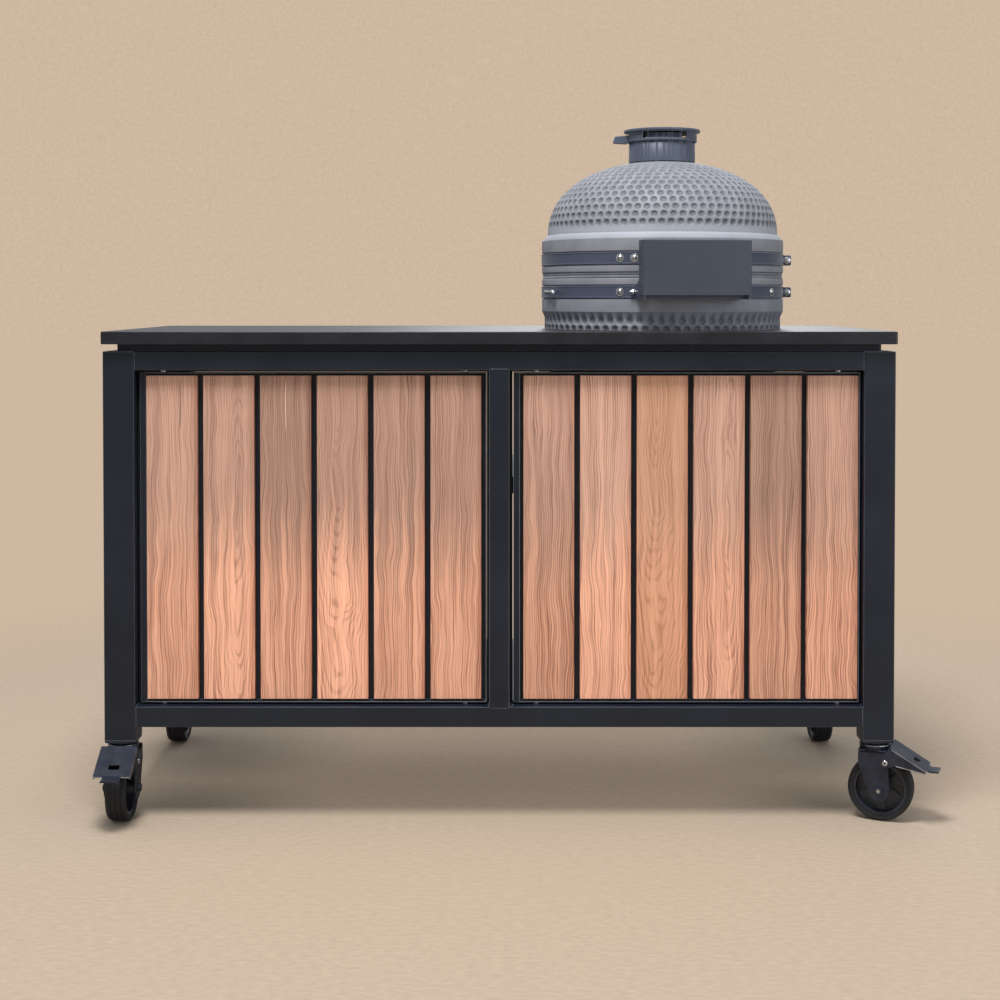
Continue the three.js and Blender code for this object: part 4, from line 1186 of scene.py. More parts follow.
@dataclass
class Boards(SubAssembly):
    """Upright hardwood boards of the doors and the end panels."""

    edge: float = 0.0012
    end_boards: int = 5
    end_gap: float = 0.0112
    end_margin: float = 0.01
    end_overhang: float = 0.0003
    board_depth: float = 0.016
    batten_inset: float = 0.05
    batten_height: float = 0.04
    pin_length: float = 0.012
    bush_bore: float = 0.0043
    bush_radius: float = 0.0062
    bush_height: float = 0.0028
    bush_drop: float = 0.0394
    bush_rise: float = 0.0406
    catch_inset: float = 0.041
    stile: float = 0.007
    # The black sheet behind the door gaps, which stands for shade there.
    shade_sheet_depth: float = 0.005
    shade_sheet_proud: float = 0.0015
    shade_sheet_gap: float = 0.004
    shade_sheet_sliver: float = 0.0005
    shade_sheet_side: float = 0.0016
    sawn: dict[str, tuple[BoardLook, ...]] = field(
        default_factory=lambda: {
            "left": (
                BoardLook(Figure.STRAIGHT, 0.6, 0.45, crack=(0.0154, 0.565)),
                BoardLook(Figure.CATHEDRAL, 0.5, 0.65),
                BoardLook(Figure.STRAIGHT, 0.2, 0.45, crack=(0.001, -0.56)),
                BoardLook(Figure.ARCHED, 0.4, 0.7),
                BoardLook(Figure.STRAIGHT, 0.35, 0.45),
                BoardLook(Figure.STRAIGHT, 0.4, 0.45),
            ),
            "right": (
                BoardLook(Figure.STRAIGHT, 0.5, 0.3),
                BoardLook(Figure.WAVY, 0.75, 0.6),
                BoardLook(Figure.ARCHED, 0.6, 0.4, 1.0),
                BoardLook(Figure.CATHEDRAL, 0.6, 0.5),
                BoardLook(Figure.STRAIGHT, 0.2, 0.25),
                BoardLook(Figure.WAVY, 0.55, 0.5),
            ),
        }
    )

    def build(self) -> None:
        """Builds the doors' boards with their leaves, and the end panels."""
        for side, looks in self.sawn.items():
            self.fitter.keep(f"door_leaf_{side}", Coat.FRAME, 0.0005)
            for number, look in enumerate(looks, start=1):
                node = f"door_board_{side}_{number}"
                seed = number + 10 * len(side)
                self.board(f"slat_{side}_{number}", *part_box(node), 0, look, seed, f"door_{side}", [node])
            self.bushes(side)
            self.seal(side)
        for side in self.sawn:
            self.end_panel(side)

    def board(
        self, name: str, low: Vector, high: Vector, axis: int, look: BoardLook, seed: int, body: str,
        replaces: Sequence[str],
    ) -> None:
        """Builds a board, whose mesh carries where its points lie in it and how it was sawn.

        Args:
            name: The board's name.
            low: Its lowest corner.
            high: Its highest corner.
            axis: The axis that the board's width lies along.
            look: How it was sawn.
            seed: A number that sets its fibres.
            body: The body that carries it.
            replaces: Nodes that it stands for.
        """
        form = block(low.x, high.x, low.y, high.y, low.z, high.z)
        mesh = self.fitter.fit(name, form, Coat.SLATS, body, replaces, self.edge).data
        count = len(mesh.vertices)
        flat = np.zeros(3 * count)
        mesh.vertices.foreach_get("co", flat)
        points = flat.reshape(-1, 3)
        middle = (low + high) / 2
        across, through = points[:, axis] - middle[axis], points[:, 1 - axis] - middle[1 - axis]
        values = {
            "board_place": np.column_stack((across, points[:, 2] - low.z, through)),
            "board_key": np.tile((seed * 1.37, *look.crack), (count, 1)),
            # Each board's tone in the painted shadow and in the painted sunlight, and its ochre tint.
            "board_age": np.tile((look.shaded, look.sunlit, look.ochre), (count, 1)),
            "board_pith": np.tile(look.figure.value, (count, 1)),
        }
        for key, rows in values.items():
            mesh.attributes.new(key, "FLOAT_VECTOR", "POINT").data.foreach_set("vector", rows.ravel())

    def bushes(self, side: str) -> None:
        """Fits the steel bushes on a door's pivots and catches, in the gap above and below the leaf.

        Args:
            side: The bay that the door closes.
        """
        _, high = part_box(f"door_leaf_{side}")
        pivot_x, pivot_y, _ = joint(f"door_{side}_swing")["pos_m"]
        rail_low, rail_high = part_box("front_frame")
        bush = ring(rectangle(self.bush_bore, self.bush_radius, 0, self.bush_height), 24)
        bushes = [
            bush.at(x, pivot_y, foot)
            for x in (pivot_x, high.x - self.catch_inset)
            for foot in (rail_high.z - self.bush_drop, rail_low.z + self.bush_rise)
        ]
        self.fitter.fit(f"bushes_{side}", joined(bushes), Coat.BRIGHT, f"door_{side}", (), 0.0004)

    def seal(self, side: str) -> None:
        """Fits a black sheet round a door's opening, clear of the leaf as it swings; it is painted shade that
        keeps the gaps round the leaf dark.

        Args:
            side: The bay that the door closes.
        """
        low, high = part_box(f"door_leaf_{side}")
        gap, sliver = self.shade_sheet_gap, self.shade_sheet_sliver
        bottom, top = low.z + self.pin_length, high.z - self.pin_length
        outline = rectangle(low.x - self.stile, high.x + gap, bottom - gap, top + gap)
        hole = rectangle(low.x - self.shade_sheet_side, high.x + sliver, bottom - sliver, top + sliver)
        back = high.y + self.shade_sheet_proud
        form = prism(outline, back - self.shade_sheet_depth, back, Plane.XZ, [hole])
        # Painted shade: a black sheet behind the gaps round the leaf.
        self.fitter.fit(f"door_shade_sheet_{side}", form, Coat.RUBBER, "frame")

    def end_panel(self, side: str) -> None:
        """Builds one end panel: upright boards on two battens.

        Args:
            side: The end of the table.
        """
        node = f"end_panel_{side}"
        low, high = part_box(node)
        face, inner, outward = (high.x, low.x, 1) if side == "right" else (low.x, high.x, -1)
        back = face - outward * self.board_depth
        reach = (high.y - low.y) / 2 + self.end_overhang
        first = (low.y + high.y) / 2 - reach + self.end_margin
        pitch = (2 * (reach - self.end_margin) + self.end_gap) / self.end_boards
        choice = random.Random(11 + len(side))
        for number in range(self.end_boards):
            start = first + number * pitch
            lower = Vector((min(face, back), start, low.z))
            upper = Vector((max(face, back), start + pitch - self.end_gap, high.z))
            look = BoardLook(choice.choice(list(Figure)), choice.uniform(0.3, 0.6), choice.uniform(0.35, 0.65))
            replaces = [] if number else [node]
            seed = 40 + number + 10 * len(side)
            self.board(f"end_slat_{side}_{number + 1}", lower, upper, 1, look, seed, "frame", replaces)
        sides = (min(back, inner), max(back, inner), low.y, high.y)
        feet = (low.z + self.batten_inset, high.z - self.batten_inset - self.batten_height)
        battens = [block(*sides, foot, foot + self.batten_height) for foot in feet]
        self.fitter.fit(f"battens_{side}", joined(battens), Coat.FRAME, "frame", (), 0.001)


# Casters


@dataclass
class Caster(SubAssembly):
    """One swivel caster, drawn with its trail along X and its axle along Y, then turned into place."""

    corner: str = "front_left"
    braked: bool = True
    trail: float = 0.012
    plate_height: float = 0.0047
    plate_corner: float = 0.006
    plate_race: float = 0.025
    tyre_width: float = 0.04
    tyre_depth: float = 0.0115
    grooves: Triple = (-0.0095, 0.0, 0.0095)
    groove_depth: float = 0.0013
    rim_depth: float = 0.006
    rim_width: float = 0.034
    rim_lip: float = 0.0016
    web: float = 0.008
    floor: float = 0.0016
    boss: float = 0.014
    boss_bore: float = 0.0063
    side_play: float = 0.0006
    pockets: int = 6
    pocket_share: float = 0.62
    pocket_corner: float = 0.003
    fork_width: float = 0.062
    fork_wall: float = 0.004
    leg_radius: float = 0.0205
    half_length: float = 0.027
    crown_top: float = 0.1377
    crown_height: float = 0.006
    race_radius: float = 0.029
    race_height: float = 0.008
    washer_radius: float = 0.0088
    nut_width: float = 0.0155
    nut_height: float = 0.0048
    axle_radius: float = 0.004
    cover_start: Pair = (0.032, 0.1465)
    cover_end: Pair = (0.099, 0.1085)
    tongue_root: float = 0.01
    tongue_bend: float = 0.005
    tongue_end: Pair = (0.121, 0.1049)
    tongue_width: float = 0.034
    slot_inset: float = 0.02
    slot_length: float = 0.012
    slot_width: float = 0.02
    pivot: Pair = (0.024, 0.116)
    eye: float = 0.01
    heel: Pair = (0.044, 0.112)
    sheet: float = 0.003
    # Radius of the pale rods that are painted highlights along the pedal's edges.
    line: float = 0.0011

    def build(self) -> None:
        """Builds the plate, the fork, the wheel and the pedal."""
        swivel, spin = joint(f"swivel_{self.corner}"), joint(f"wheel_spin_{self.corner}")
        axle_x, axle_y, _ = spin["axis"]
        foot_x, foot_y, _ = swivel["pos_m"]
        turn = Matrix.Rotation(math.atan2(axle_y, axle_x) - math.pi / 2, 4, "Z")
        self.seat = Matrix.Translation((foot_x, foot_y, 0)) @ turn
        self.axle_height = spin["pos_m"][2]
        self.plate()
        self.fork()
        self.wheel()
        if self.braked:
            self.pedal()

    def mount(
        self, name: str, form: Form, coat: Coat, part: str, node: str = "", ease: float = 0.0,
        cutters: Sequence[Form] = (),
    ) -> None:
        """Fits a piece of this caster. Its name, its body and its node all end with the corner.

        Args:
            name: The start of the piece's name.
            form: Its shape in the caster's own frame.
            coat: Its finish.
            part: The start of the body's name.
            node: The start of the name of the node that it stands for, if any.
            ease: Width of its eased edges, none where zero.
            cutters: Forms that are cut out of it, in the caster's own frame.
        """
        replaces = [f"{node}_{self.corner}"] if node else []
        cuts = [cutter.moved(self.seat) for cutter in cutters]
        placed = form.moved(self.seat)
        self.fitter.fit(f"{name}_{self.corner}", placed, coat, f"{part}_{self.corner}", replaces, ease, cuts)

    def plate(self) -> None:
        """Builds the top plate with its upper race, square to the post."""
        node = f"caster_pad_{self.corner}"
        low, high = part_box(node)
        foot = middle_of(node)
        half = (high.x - low.x) / 2
        outline = eased(rectangle(-half, half, -half, half), self.plate_corner)
        plate = prism(outline, high.z - self.plate_height, high.z)
        race = dowel(self.plate_race, low.z, high.z - 0.004, 0.002, 48)
        form = joined([plate, race]).at(foot.x, foot.y, 0)
        self.fitter.fit(f"top_plate_{self.corner}", form, Coat.ZINC, "frame", [node], 0.0007)

    def fork(self) -> None:
        """Builds the pressed fork with its race, the nuts and the axle's ends."""
        length, half, wall, top = self.half_length, self.fork_width / 2, self.fork_wall, self.crown_top
        shoulder = self.axle_height + self.leg_radius + length
        foot = arc((self.trail, self.axle_height), self.leg_radius, 180, 360, 16)
        leg = [(-length, top), (-length, shoulder), *foot, (length + 0.003, shoulder - 0.01), (length, top)]
        outline = eased(leg, self.plate_corner)
        legs = [prism(outline, side, side + wall, Plane.XZ) for side in (-half, half - wall)]
        crown_outline = eased(rectangle(-length, length, -half, half), self.plate_corner)
        crown = prism(crown_outline, top - self.crown_height, top)
        race = dowel(self.race_radius, top - 0.002, top + self.race_height, 0.0026, 48)
        self.mount("pressed_fork", joined([*legs, crown, race]), Coat.ZINC, "caster", "fork", 0.0008)
        path = arc((0, 0), self.race_radius - 0.0006, 0, 352.5, 47)
        bearing = tube([(u, v, top + 0.0068) for u, v in path], 0.0012, 8, closed=True)
        self.mount("bearing_ring", bearing, Coat.RACE, "caster")
        nuts, ends = [], []
        for side in (-1, 1):
            along = Vector((0, side, 0))
            base = Vector((self.trail, side * half, self.axle_height))
            nuts.append(dowel(self.washer_radius, 0, 0.0011, 0.0003).aimed(base, along))
            nuts.append(hex_head(self.nut_width, self.nut_height).aimed(base + along * 0.001, along))
            ends.append(dowel(self.axle_radius, 0.004, 0.0059, 0.0008, 20).aimed(base, along))
        self.mount("axle_nuts", joined(nuts), Coat.ZINC, "caster", "", 0.0003)
        self.mount("axle_ends", joined(ends), Coat.RACE, "caster")

    def wheel(self) -> None:
        """Builds the moulded wheel with its pockets, and the tyre with its grooves."""
        rim = self.axle_height - self.tyre_depth
        inner, lip = rim - self.rim_depth, rim - self.rim_depth + self.rim_lip
        side, half_web, half_floor = self.rim_width / 2, self.web / 2, self.floor / 2
        hub_side = self.fork_width / 2 - self.fork_wall - self.side_play
        boss, bore, neck = self.boss, self.boss_bore, self.boss - 0.003
        edge = side - 0.002
        hoop = ring([(inner, -edge), (lip, -side), (rim, -side), (rim, side), (lip, side), (inner, edge)])
        core = ring(
            [
                (bore, -hub_side), (neck, -hub_side), (boss, -half_web - 0.004), (boss, half_web + 0.004),
                (neck, hub_side), (bore, hub_side),
            ],
            40,
        )
        spread = 180 / self.pockets
        width = self.pocket_share * spread
        pocket = eased([(boss + 0.006, 0), *arc((0, 0), inner - 0.0035, -width, width, 6)], self.pocket_corner)
        turns = [Matrix.Rotation(math.radians(2 * spread * index), 2) for index in range(self.pockets)]
        holes = [[tuple(turn @ Vector(point)) for point in pocket] for turn in turns]
        web = prism(arc((0, 0), inner + 0.001, 0, 355, 71), -half_web, half_web, Plane.XY, holes)
        floor = ring(rectangle(boss - 0.001, inner + 0.001, -half_floor, half_floor))
        upright = Matrix.Translation((self.trail, 0, self.axle_height)) @ Matrix.Rotation(-math.pi / 2, 4, "X")
        disc = joined([hoop, core, web, floor]).moved(upright)
        self.mount("wheel_disc", disc, Coat.HUB, "wheel", "hub", 0.0006)
        self.mount("tread", self.tyre().moved(upright), Coat.RUBBER, "wheel", "tyre")

    def tyre(self) -> Form:
        """Gives the tyre about Z: a crowned tread with three grooves and rounded shoulders.

        Returns:
            The closed form.
        """
        inner, outer, half = self.axle_height - self.tyre_depth + 0.0002, self.axle_height, self.tyre_width / 2
        crown = [(outer - 0.0042, -half), (outer - 0.001, 0.0042 - half)]
        for groove in self.grooves:
            lift = outer - 0.0008 * abs(groove) / self.grooves[-1]
            bed = lift - self.groove_depth
            crown += [(lift, groove - 0.0014), (bed, groove - 0.0008)]
            crown += [(bed, groove + 0.0008), (lift, groove + 0.0014)]
        crown += [(outer - 0.001, half - 0.0042), (outer - 0.0042, half)]
        return ring([(inner, 0.002 - half), *eased(crown, 0.0012, 3, closed=False), (inner, half - 0.002)], 96)

    def pedal(self) -> None:
        """Builds the brake pedal: a sloping slotted cover with cheeks, its tongue, pale rods along its edges as
        painted highlights, and rivets.
        """
        inner = self.fork_width / 2 + 0.0003
        outer = inner + self.sheet
        (x0, z0), (x1, z1), (tip_x, tip_z) = self.cover_start, self.cover_end, self.tongue_end
        slope = (z1 - z0) / (x1 - x0)
        drop = self.sheet * math.hypot(1, slope)
        cover = prism([(x0, z0), (x1, z1), (x1, z1 - drop), (x0, z0 - drop)], -outer, outer, Plane.XZ)
        eye = arc(self.pivot, self.eye, 135, 270, 8)
        cheek = eased([*eye, self.heel, (x1, z1 - 1.6 * drop), (x1, z1 - 0.0002), (x0, z0 - 0.0002)], 0.004)
        cheeks = [prism(cheek, side, side + self.sheet, Plane.XZ) for side in (-outer, inner)]
        root, bend = x1 - self.tongue_root, x1 + self.tongue_bend
        root_z = z0 + (root - x0) * slope
        tongue_side = [
            (root, root_z - drop / 2), (bend, z1 - drop), (tip_x, tip_z), (tip_x, tip_z - self.sheet),
            (bend, z1 - 2 * drop), (root, root_z - 1.5 * drop),
        ]
        tongue = prism(tongue_side, -self.tongue_width / 2, self.tongue_width / 2, Plane.XZ)
        middle, half_slot, half = x1 - self.slot_inset, self.slot_length / 2, self.slot_width / 2
        slot = block(-half_slot, half_slot, -half, half, -0.006, 0.006).about("Y", math.atan(-slope))
        slot = slot.at(middle, 0, z0 + (middle - x0) * slope)
        self.mount("brake_pedal", joined([cover, *cheeks, tongue]), Coat.ZINC, "brake", "pedal", 0.0008, [slot])
        # Painted highlights: thin pale rods along the pedal's edges.
        lines = []
        for side in (-outer, outer):
            lines.append([(x0 + 0.004, side, z0 - 0.4 * drop + 0.004 * slope), (x1, side, z1 - 0.4 * drop)])
            lines.append([(self.heel[0], side, self.heel[1]), (x1 - 0.001, side, z1 - 1.5 * drop)])
        nose, level = x1 + 0.0004, z1 - 0.7 * drop
        lines.append([(nose, -outer, level), (nose, outer, level)])
        self.mount("pedal_edges", joined([tube(line, self.line, 6) for line in lines]), Coat.RACE, "brake")
        eyelet = ring([(0.0022, 0), (0.005, 0), (0.005, 0.001), (0.0042, 0.0017), (0.0022, 0.0012)], 24)
        pivot_x, pivot_z = self.pivot
        rivets = [eyelet.aimed((pivot_x, side * outer, pivot_z), (0, side, 0)) for side in (-1, 1)]
        self.mount("pedal_rivets", joined(rivets), Coat.BRIGHT, "brake")


# Grill


@dataclass(frozen=True)
class Pits:
    """Rows of round pits pressed into a turned wall, each row shifted by half a pitch."""

    radius: float
    depth: float
    pitch: float
    first: float
    step: float
    rows: int
    cup: float = 0.55

    def press(self, form: Form, rows: np.ndarray) -> None:
        """Presses the pits into a surface of rings about Z.

        Args:
            form: The form, changed in place.
            rows: Indices of the surface's rings, from where the first row of pits is counted.
        """
        rings = form.points[rows]
        reach = np.hypot(rings[:, 0, 0], rings[:, 0, 1])
        height = rings[:, 0, 2]
        along = np.concatenate(([0.0], np.cumsum(np.hypot(np.diff(reach), np.diff(height)))))
        run, rise = np.gradient(reach, along), np.gradient(height, along)
        angles = np.arctan2(rings[0, :, 1], rings[0, :, 0])
        total = np.zeros(rows.shape)
        for number in range(self.rows):
            centre = self.first + number * self.step
            count = round(FULL_TURN * np.interp(centre, along, reach) / self.pitch)
            share = angles[None, :] / FULL_TURN * count - 0.5 * (number % 2)
            across = (np.mod(share + 0.5, 1.0) - 0.5) * FULL_TURN / count * reach[:, None]
            distance = np.hypot(across, along[:, None] - centre) / self.radius
            total += np.clip(1 - distance**2, 0, None) ** self.cup
        outward = np.stack(
            (np.abs(rise)[:, None] * np.cos(angles), np.abs(rise)[:, None] * np.sin(angles),
             np.repeat((-run * np.sign(rise))[:, None], len(angles), axis=1)),
            axis=-1,
        )
        form.points[rows] = rings - outward * self.depth * total[..., None]
        # The pits' share, which the glaze paints as shade.
        form.hollow = np.zeros(len(form.points))
        form.hollow[rows] = np.clip(2 * total, 0, 1)


@dataclass
class GrillSizes:
    """Sizes of the grill's ceramic, measured from its axis and from the seam between lid and base."""

    ring_radius: float = 0.249
    seat_radius: float = 0.246
    rim: float = 0.013
    gasket: float = 0.006
    band_zone: float = 0.028
    ring: float = 0.025
    dome_radius: float = 0.237
    dome_foot: float = 0.084
    dome_height: float = 0.154
    dome_power: float = 2.2
    lid_wall: float = 0.024
    chimney_hole: float = 0.054
    belly_radius: float = 0.2435
    belly_drop: float = 0.084
    belly_height: float = 0.322
    belly_power: float = 2.3
    base_wall: float = 0.026
    turns: int = 960

    def dome(self, inset: float, steps: int, last: float) -> list[Pair]:
        """Gives the dome's curve from its foot up to a radius, inset by a wall.

        Args:
            inset: How far inside the outer face the curve lies.
            steps: Facets along it.
            last: The radius where it ends.

        Returns:
            Points of radius and height.
        """
        radius, height = self.dome_radius - inset, self.dome_height - inset
        return [
            (reach, self.dome_foot + rise)
            for reach, rise in closing_curve(radius, height, self.dome_power, steps, last)
        ]

    def belly(self, inset: float, steps: int, lowest: float) -> list[Pair]:
        """Gives the base's curve from its top down to a height below the seam, inset by a wall.

        Args:
            inset: How far inside the outer face the curve lies.
            steps: Facets along it.
            lowest: The height where it ends, below zero.

        Returns:
            Points of radius and height.
        """
        radius, height = self.belly_radius - inset, self.belly_height - inset / 2
        share = (-self.belly_drop - lowest) / height
        last = radius * (1 - share**self.belly_power) ** (1 / self.belly_power)
        return [
            (reach, -self.belly_drop - fall)
            for reach, fall in closing_curve(radius, height, self.belly_power, steps, last)
        ]


def closing_curve(radius: float, height: float, power: float, steps: int, last: float) -> list[Pair]:
    """Gives a curve that leaves a cylinder and closes in towards the axis.

    Args:
        radius: The cylinder's radius.
        height: Where the whole curve would meet the axis.
        power: How full the curve is.
        steps: Facets along it.
        last: The radius where it ends.

    Returns:
        Points of radius and height.
    """
    last_share = (1 - (last / radius) ** power) ** (1 / power)
    points = []
    for step in range(steps + 1):
        angle = step / steps * math.asin(last_share ** (power / 2))
        share = math.sin(angle) ** (2 / power)
        points.append((radius * (1 - share**power) ** (1 / power), height * share))
    return points


@dataclass
class Grill(SubAssembly):
    """What the grill's sub-assemblies share: its sizes and the place of its axis and seam."""

    sizes: GrillSizes = field(default_factory=GrillSizes)

    def axis(self) -> Pair:
        """Gives the place of the grill's axis."""
        x, y, _ = joint("cap_turn")["pos_m"]
        return (x, y)

    def seam(self) -> float:
        """Gives the height of the seam."""
        return (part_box("lid_gasket")[0].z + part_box("base_gasket")[1].z) / 2

    def put(self, form: Form) -> Form:
        """Moves a form from the grill's own axis and seam into the object's frame."""
        return form.at(*self.axis(), self.seam())

    def mount(
        self, name: str, form: Form, coat: Coat, body: str, replaces: Sequence[str] = (), ease: float = 0.0,
        cutters: Sequence[Form] = (),
    ) -> None:
        """Fits a piece that is drawn about the grill's own axis and seam.

        Args:
            name: The piece's name.
            form: Its shape.
            coat: Its finish.
            body: The body that carries it.
            replaces: Nodes that it stands for.
            ease: Width of its eased edges, none where zero.
            cutters: Forms that are cut out of it, drawn likewise.
        """
        cuts = [self.put(cutter) for cutter in cutters]
        self.fitter.fit(name, self.put(form), coat, body, replaces, ease, cuts)

    def draft_opening(self, half: float, bottom: float, top: float) -> Form:
        """Gives the block that cuts the draft's way from the grill's axis out to its frame.

        Args:
            half: Half its width.
            bottom: Its lower edge above the seam.
            top: Its upper edge above the seam.

        Returns:
            The closed form.
        """
        return block(-half, half, 0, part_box("draft_door_frame")[1].y - self.axis()[1], bottom, top)


@dataclass
class Ceramics(Grill):
    """Lid and base with their pits, and the felt between them."""

    lid_pits: Pits = Pits(0.0068, 0.0036, 0.01865, 0.0198, 0.0157, 13)
    base_pits: Pits = Pits(0.0074, 0.004, 0.0205, 0.006, 0.0165, 17)
    edge: float = 0.0016
    foot_radius: float = 0.112
    foot_ring: float = 0.012
    floor: float = 0.028
    draft_half: float = 0.055
    draft_rise: float = 0.048
    draft_height: float = 0.046
    felt_overhang: float = 0.0014
    felt_width: float = 0.0214
    # Where a highlight is painted on the smooth band between the ring and the pits: its fade, its top and its
    # strength by height.
    rim_highlight_fade: float = 0.009
    rim_highlight_top: float = 0.1
    rim_highlight_shares: tuple[float, ...] = (0, 0.15, 0.85, 0.85, 0)

    def build(self) -> None:
        """Builds the lid, the base and both gaskets."""
        self.lid()
        self.base()
        outer = self.sizes.seat_radius + self.felt_overhang
        for node, body, low, high in (
            ("base_gasket", "frame", 0.0003 - self.sizes.gasket, -0.00015),
            ("lid_gasket", "lid", 0.00015, self.sizes.gasket - 0.0003),
        ):
            profile = eased(rectangle(outer - self.felt_width, outer, low, high), 0.0022)
            self.mount(f"{node}_felt", ring(profile, 144), Coat.FELT, body, [node])

    def lid(self) -> None:
        """Builds the lid: rim, band seat, ring, and the dome with its pits, above a smooth band where a
        highlight is painted.
        """
        s = self.sizes
        outside = s.dome(0, 200, s.chimney_hole)
        inside = s.dome(s.lid_wall, 24, s.chimney_hole)[::-1]
        seat, top = s.gasket + s.rim, s.gasket + s.rim + s.band_zone
        inner, ring_top = s.dome_radius - s.lid_wall, top + s.ring
        corners = [
            inside[-1], (inner, s.gasket), (s.ring_radius, s.gasket), (s.ring_radius, seat),
            (s.seat_radius, seat), (s.seat_radius, top), (s.ring_radius, top), (s.ring_radius, ring_top),
            outside[0],
        ]
        rim = eased(corners, self.edge, 4, closed=False)
        form = ring([*outside, *inside, *rim[1:-1]], s.turns)
        rows = np.arange(len(outside) * s.turns).reshape(len(outside), s.turns)
        self.lid_pits.press(form, rows[:-4])
        foot = s.dome_foot
        # Painted highlight on the smooth band above the ring, stored below zero beside the pits' depth.
        heights = [ring_top - 0.001, ring_top + 0.001, foot + 0.001, foot + self.rim_highlight_fade, self.rim_highlight_top]
        rim_highlight = np.interp(form.points[:, 2], heights, self.rim_highlight_shares)
        outer = np.hypot(form.points[:, 0], form.points[:, 1]) > inner + s.lid_wall / 2
        form.hollow = np.where((form.hollow > 0) | ~outer, form.hollow, -rim_highlight)
        self.mount("lid_shell", form, Coat.GLAZE, "lid", ["kamado_lid"])

    def base(self) -> None:
        """Builds the base: ring, band seat, and the belly with its pits, down to its foot."""
        s = self.sizes
        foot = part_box("kamado_base")[0].z - self.seam()
        outside = s.belly(0, 240, foot + self.foot_ring)[::-1]
        inside = s.belly(s.base_wall, 24, foot + self.floor)
        seat, top = -s.gasket - s.rim, -s.gasket - s.rim - s.band_zone
        corners = [
            outside[-1], (s.ring_radius, top - s.ring), (s.ring_radius, top), (s.seat_radius, top),
            (s.seat_radius, seat), (s.ring_radius, seat), (s.ring_radius, -s.gasket),
            (s.belly_radius - s.base_wall, -s.gasket), inside[0],
        ]
        rim = eased(corners, self.edge, 4, closed=False)
        foot_ring = [(0, foot), (self.foot_radius, foot), (self.foot_radius, foot + self.foot_ring)]
        form = lathe([*foot_ring, *outside, *rim[1:-1], *inside, (0, foot + self.floor)], s.turns)
        start = 1 + 2 * s.turns
        rows = start + np.arange(len(outside) * s.turns).reshape(len(outside), s.turns)
        self.base_pits.press(form, rows[:0:-1])
        low = foot + self.draft_rise
        opening = self.draft_opening(self.draft_half, low, low + self.draft_height)
        self.mount("base_shell", form, Coat.GLAZE, "frame", ["kamado_base"], 0, [opening])


